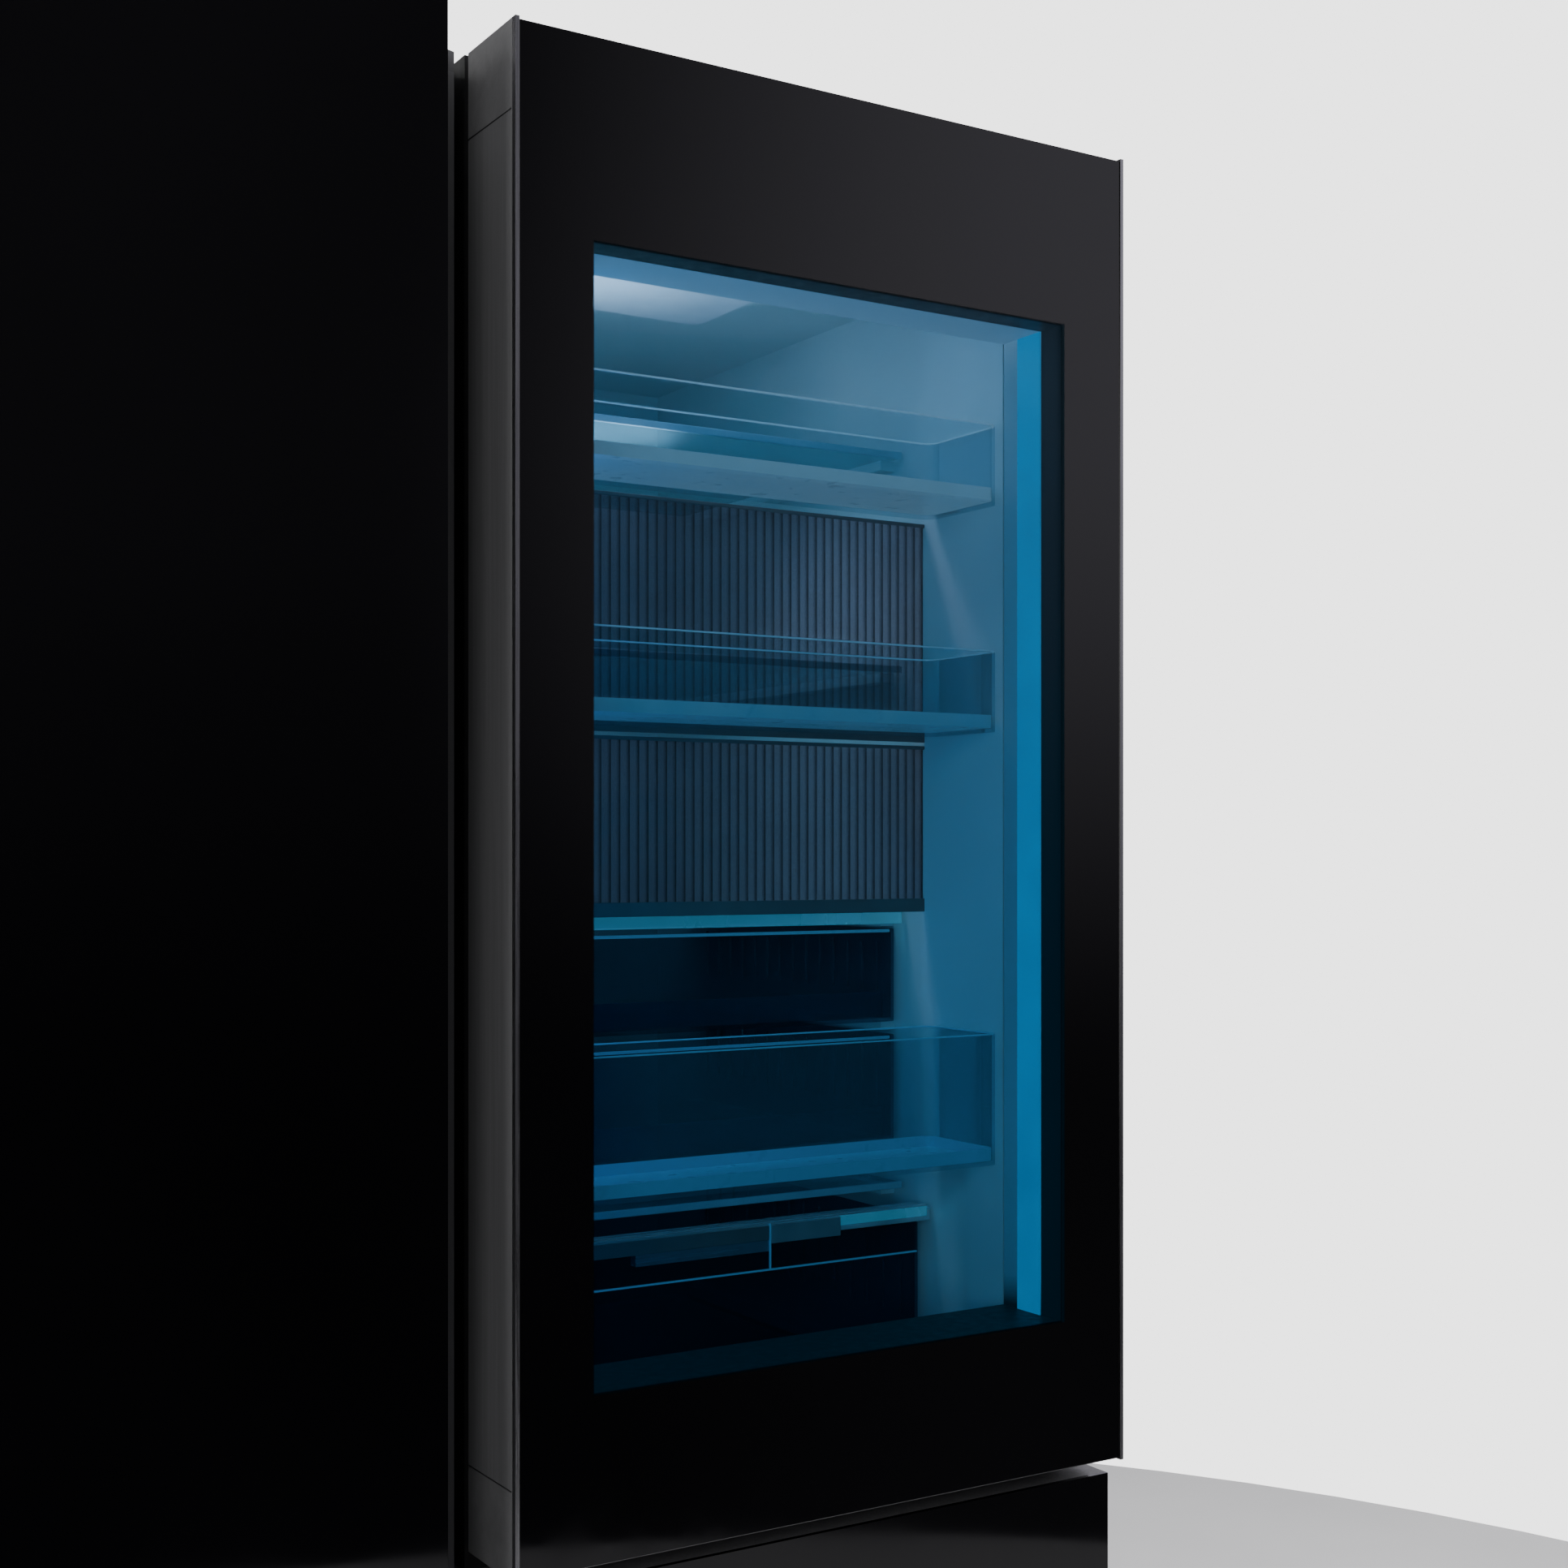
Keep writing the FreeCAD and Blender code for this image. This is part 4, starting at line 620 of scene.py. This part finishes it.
def vegetable_front():
    """The vegetable drawer's fascia, tinted dark as painted shade, its finger recess and its
    sliding control.
    """
    low, high = corners("vegetable_drawer_trim")
    top = corners("vegetable_drawer")[1].z
    middle = (low.x + high.x) / 2
    recess_end, control_end = middle + 0.06, middle + 0.128
    sill, control_bottom, glint_bottom = top - 0.024, top - 0.004, high.z - 0.008
    inset, end_gap, line, lap = 0.014, 0.004, 0.0015, 0.001
    film, proud, prouder = 0.0006, 0.0012, 0.0016
    left, right = low.x + inset, high.x - inset
    front, back = low.y, low.y + lap
    fascia = [((left, front - film, sill), (right, back, top))]
    blocks("vegetable_fascia", fascia, SHADE_TINTED_PLASTIC, "vegetable_drawer", 0.0004)
    # Painted highlights: thin glowing lines along the sill and beside the recess.
    lines = [((left, front - proud, sill - line), (right, back, sill)),
             ((recess_end, front - prouder, sill), (recess_end + line, front, high.z))]
    blocks("vegetable_fascia_painted_highlights", lines, PAINTED_LIGHT_PLASTIC, "vegetable_drawer", 0.0004)
    # Painted shade: the recess is a dark plate standing in for the shade in it.
    recess = [((low.x + end_gap, front - lap, top - lap), (recess_end, front, high.z - line))]
    blocks("vegetable_finger_recess", recess, DARK_PLASTIC, "vegetable_drawer_trim", 0.0006)
    # Painted glint: a glowing line along the right part of the trim bar's top edge.
    edge = [((control_end, front - proud, glint_bottom), (high.x - end_gap, front, high.z))]
    blocks("vegetable_trim_painted_glint", edge, PAINTED_HIGHLIGHT_TRIM, "vegetable_drawer_trim", 0.0006)
    control = [((recess_end + line, front - prouder, control_bottom),
                (control_end, front, high.z - lap))]
    blocks("vegetable_air_control", control, GREY, "vegetable_drawer_trim", 0.0008)


# ------------------------------------------------------------------ lamps inside


def window_painted_glow_strips():
    """Strips down the two sides of the window that glow with painted light."""
    wall, strip_width, gap, reach = 0.003, 0.0012, 0.0005, 0.028
    low, high = corners("outer_door_window_liner")
    left, right, bottom, top = low.x + wall, high.x - wall, low.z + wall, high.z - wall
    pane_back = corners("outer_door_inner_pane")[1].y
    front, back = pane_back + gap, pane_back + reach
    glow_strips = [((right - strip_width, front, bottom), (right, back, top)),
              ((left, front, bottom), (left + strip_width, back, top))]
    blocks("window_painted_glow_strips", glow_strips, PAINTED_GLOW_STRIP, "outer_door_window_liner", 0.0003)


def case_light_strips():
    """The light strips down the left side and along the top of the storage case."""
    wall, strip = 0.003, 0.002
    low, high = corners("fridge_door_case")
    left, top = low.x + wall, high.z - wall
    bottom_gap, top_gap, end_gap = 0.09, 0.02, 0.03
    side_front, side_back, top_front, top_back = 0.002, 0.006, 0.004, 0.012
    strips = [((left, low.y + side_front, low.z + bottom_gap),
               (left + strip, low.y + side_back, high.z - top_gap)),
              ((low.x + end_gap, low.y + top_front, top - strip),
               (high.x - end_gap, low.y + top_back, top))]
    blocks("case_light_strips", strips, LED_STRIP, "fridge_door_case", 0.0003)


def back_wall_vent():
    """The small vented housing high on the fridge's back wall."""
    corner = corners("fridge_duct_cover")[0]
    ceiling = corners("fridge_liner")[1].z - 0.002
    left, right = corner.x - 0.055, corner.x + 0.095
    bottom, top, front = ceiling - 0.118, ceiling - 0.068, corner.y - 0.016
    housing = [((left, front, bottom), (right, corner.y, top))]
    blocks("vent_housing", housing, GREY, "fridge_duct_cover", 0.003)
    count, first, pitch, slat = 5, ceiling - 0.11, 0.009, 0.004
    margin, proud, sunk = 0.012, 0.0012, 0.001
    slats = []
    for row in range(count):
        level = first + pitch * row
        slats.append(((left + margin, front - proud, level),
                      (right - margin, front + sunk, level + slat)))
    blocks("vent_slats", slats, DARK_PLASTIC, "fridge_duct_cover", 0.0006)


def lamp_frame():
    """The white frame round the ceiling lamp's lens."""
    low, high = corners("ceiling_light_lens")
    width, inner_radius, outer_radius, lift = 0.006, 0.012, 0.016, 0.002
    mesh = bmesh.new()
    outer = rounded(*shrink(low, high, -width), outer_radius)
    inner = rounded(*shrink(low, high, 0.0), inner_radius)
    add_wall(mesh, outer, inner, low.z + lift, high.z)
    piece("lamp_frame", mesh, WHITE_PLASTIC, "fridge_liner")


# ------------------------------------------------------------------ doors, back and feet


def door_seams():
    """Fine dark joints where the outer door's end caps meet its side frame."""
    low, high = corners("outer_door_frame")
    proud, half, deep = 0.0002, 0.0004, 0.001
    lines = [((low.x - proud, low.y + deep, z - half), (low.x + deep, high.y, z + half))
             for z in (low.z, high.z)]
    blocks("door_cap_seams", lines, BLACK_PLASTIC, "outer_door_frame", 0.0001)


def door_liner_edging():
    """A dark strip round the edge of each door's inner panel, where the gasket's channel ends."""
    thick, wide = 0.0006, 0.007
    for node in ("fridge_door_liner", "freezer_door_liner"):
        low, high = corners(node)
        front, back = low.y, low.y + wide
        spans = [((x, front, low.z - thick), (x + thick, back, high.z + thick))
                 for x in (low.x - thick, high.x)]
        spans += [((low.x, front, z), (high.x, back, z + thick)) for z in (low.z - thick, high.z)]
        blocks(f"{node}_edging", spans, BLACK_PLASTIC, node, 0.0001)


def screws(name, places, axis, radius, node):
    """Domed screw heads with a cross recess, facing along an axis."""
    mesh = bmesh.new()
    cross = bmesh.new()
    out = Vector(axis)
    dome = ((1.0, 0.0006), (0.82, 0.0011), (0.5, 0.0014))
    sunk, film = 0.0005, 0.0001
    crown = dome[-1][1]
    arm_length, arm_width = radius * 0.55, radius * 0.12
    for place in places:
        foot = Vector(place)
        for share, height in dome:
            round_bar(mesh, foot - out * sunk, foot + out * height, radius * share)
        side = out.orthogonal().normalized() * arm_length
        middle = foot + out * crown
        for arm in (side, out.cross(side)):
            thin = out.cross(arm).normalized() * arm_width
            reach = Vector([abs(a) + abs(b) + abs(c) * film for a, b, c in zip(arm, thin, out)])
            add_block(cross, middle - reach, middle + reach, 0.00005)
    piece(name, mesh, SCREW, node, smooth=True)
    piece(name + "_slots", cross, BLACK_PLASTIC, node)


def back_details():
    """Screws in the machine room's cover and in the hinge covers."""
    head = 0.0016
    low, high = corners("machine_cover")
    end_gap, edge_gap, middle = 0.03, 0.012, 0.15
    places = [(x, high.y - head, z)
              for x in (low.x + end_gap, -middle, middle, high.x - end_gap)
              for z in (low.z + edge_gap, high.z - edge_gap)]
    screws("machine_cover_screws", places, (0, 1, 0), 0.0045, "machine_cover")
    low, high = corners("hinge_covers")
    half_width, from_front = 0.033, 0.11
    places = [(x, low.y + from_front, high.z - head) for x in (low.x + half_width,
                                                               high.x - half_width)]
    screws("hinge_cover_screws", places, (0, 0, 1), 0.005, "hinge_covers")


def foot_treads():
    """A ring of grips round each levelling foot."""
    low, high = corners("leveling_feet")
    mesh = bmesh.new()
    radius, count, grip, bottom, top = 0.02, 20, 0.0016, 0.003, 0.0115
    for x in (low.x + radius, high.x - radius):
        for step in range(count):
            angle = math.tau * step / count
            place = (x + math.cos(angle) * radius, low.y + radius + math.sin(angle) * radius)
            round_bar(mesh, (*place, bottom), (*place, top), grip, 8)
    piece("foot_grips", mesh, LOOKS["dark_nylon"], "leveling_feet", smooth=True)


for bin_node in (*PAINTED_LIGHT_BINS, "door_bin_low", "freezer_door_bins"):
    bin_details(bin_node)
fluted_panes()
shelf_trims()
drawer_details()
window_painted_glow_strips()
case_light_strips()
back_wall_vent()
lamp_frame()
door_seams()
door_liner_edging()
back_details()
foot_treads()


# ------------------------------------------------------------------ camera, light and floor


def camera():
    """The photographer's place, given from the outer door's left front edge and the floor."""
    door = corners("outer_door_side_trims")[0]
    left_of_door, in_front, eye_height = 0.5491, 1.1955, 1.2126
    turn = math.radians(-32.16)
    lens = bpy.data.cameras.new("photo_camera")
    lens.lens = 46.91
    lens.sensor_width = 36
    lens.shift_y = 0.045
    view = bpy.data.objects.new("photo_camera", lens)
    view.location = (door.x - left_of_door, door.y - in_front, eye_height)
    view.rotation_euler = (math.radians(90), 0, turn)
    bpy.context.scene.collection.objects.link(view)
    bpy.context.scene.camera = view


def lamp(name, place, aim, size, power, colour=(1, 1, 1)):
    """A rectangular soft light that shines from place towards aim."""
    data = bpy.data.lights.new(name, "AREA")
    data.shape = "RECTANGLE"
    data.size, data.size_y = size
    data.energy = power
    data.color = colour
    light = bpy.data.objects.new(name, data)
    light.location = place
    light.rotation_euler = (Vector(aim) - Vector(place)).to_track_quat("-Z", "Y").to_euler()
    light.visible_camera = False
    bpy.context.scene.collection.objects.link(light)
    return light


def pale_floor():
    """A round pale floor."""
    bpy.ops.mesh.primitive_circle_add(vertices=96, radius=2.6, fill_type="NGON",
                                      location=(0, 0, 0))
    floor = bpy.context.object
    floor.name = "studio_floor"
    floor.data.materials.append(
        textured("studio_floor", (0.7, 0.7, 0.7), (0.74, 0.74, 0.74), 4, (0.6, 0.75), grain=0.1))


def surroundings():
    """A pale backdrop for the camera alone; all else is lit dimly, from the right and above."""
    world = bpy.data.worlds.new("studio_world")
    bpy.context.scene.world = world
    world.use_nodes = True
    tree = world.node_tree
    tree.nodes.clear()
    make = tree.nodes.new
    join = tree.links.new
    output = make("ShaderNodeOutputWorld")
    place = make("ShaderNodeTexCoord")
    split = make("ShaderNodeSeparateXYZ")
    join(place.outputs["Generated"], split.inputs["Vector"])
    product = make("ShaderNodeMath")
    product.operation = "MULTIPLY"
    fades = (("X", 0.35, 0.62, 0.1), ("Z", -0.12, 0.24, 0.06))
    for socket, (axis, start, end, least) in zip(product.inputs, fades):
        fade = make("ShaderNodeMapRange")
        fade.interpolation_type = "SMOOTHSTEP"
        fade.inputs["From Min"].default_value = start
        fade.inputs["From Max"].default_value = end
        fade.inputs["To Min"].default_value = least
        fade.inputs["To Max"].default_value = 1.0
        join(split.outputs[axis], fade.inputs["Value"])
        join(fade.outputs["Result"], socket)
    dim = make("ShaderNodeBackground")
    dim.inputs["Color"].default_value = (0.74, 0.72, 0.82, 1)
    join(product.outputs["Value"], dim.inputs["Strength"])
    pale = make("ShaderNodeBackground")
    pale.inputs["Color"].default_value = (1, 1, 1, 1)
    pale.inputs["Strength"].default_value = 3.0
    paths = make("ShaderNodeLightPath")
    choose = make("ShaderNodeMixShader")
    join(paths.outputs["Is Camera Ray"], choose.inputs["Fac"])
    join(dim.outputs["Background"], choose.inputs[1])
    join(pale.outputs["Background"], choose.inputs[2])
    join(choose.outputs["Shader"], output.inputs["Surface"])


def studio_lights():
    """Soft lamps round the appliance, dim in front so that the lit window stands out."""
    lamp("key_left", (-2.6, -0.6, 1.9), (-0.2, -0.2, 1.0), (1.4, 2.2), 36)
    lamp("rim_right", (2.8, 0.4, 2.0), (0.3, 0, 1.0), (1.2, 2.0), 45)
    lamp("rear_soft", (0.3, 3.0, 2.2), (0, 0, 0.9), (1.8, 1.8), 60)
    lamp("top_soft", (0, -0.3, 3.2), (0, 0, 1.5), (2.0, 1.6), 30)
    lamp("front_left", (-1.7, -2.6, 1.5), (0, -0.35, 1.1), (1.0, 1.6), 30)


def ceiling_lights():
    """Light down from the ceiling lamp's lens and up on the ceiling round it, on the cabinet."""
    warm, warm_wash = (1.0, 0.8, 0.85), (1.0, 0.82, 0.88)
    ceiling = corners("fridge_liner")[1].z
    low, high = corners("ceiling_light_lens")
    middle = (low + high) / 2
    glow = lamp("ceiling_glow", (middle.x, middle.y, low.z - 0.004), (middle.x, middle.y, 0),
                (0.18, 0.11), 0.85, warm)
    glow.data.spread = math.radians(100)
    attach(glow, "cabinet")
    x = middle.x - 0.09
    wash = lamp("ceiling_wash", (x, low.y + 0.04, low.z - 0.16), (x - 0.01, low.y + 0.02, ceiling),
                (0.2, 0.12), 0.38, warm_wash)
    wash.data.spread = math.radians(95)
    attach(wash, "cabinet")


def case_lights():
    """Light from the storage case's top and left side, carried by the fridge door."""
    pale_blue, deep_blue = (0.6, 0.8, 1.0), (0.0, 0.42, 1.0)
    low, high = corners("fridge_door_case")
    centre = (low + high) / 2
    gap, front, height = 0.008, low.y + 0.02, high.z - low.z
    above = lamp("case_top_glow", (centre.x, front + 0.02, high.z - gap),
                 (centre.x, front + 0.03, 0), (0.36, 0.03), 0.03, pale_blue)
    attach(above, "fridge_door")
    side = lamp("case_side_glow", (low.x + gap, front, centre.z),
                (high.x, front + 0.05, centre.z), (0.02, height * 0.92), 0.42, deep_blue)
    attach(side, "fridge_door")


# The view through the window crosses many clear layers, which turn black at the default limit.
bpy.context.scene.cycles.transparent_max_bounces = 32
camera()
pale_floor()
surroundings()
studio_lights()
ceiling_lights()
case_lights()
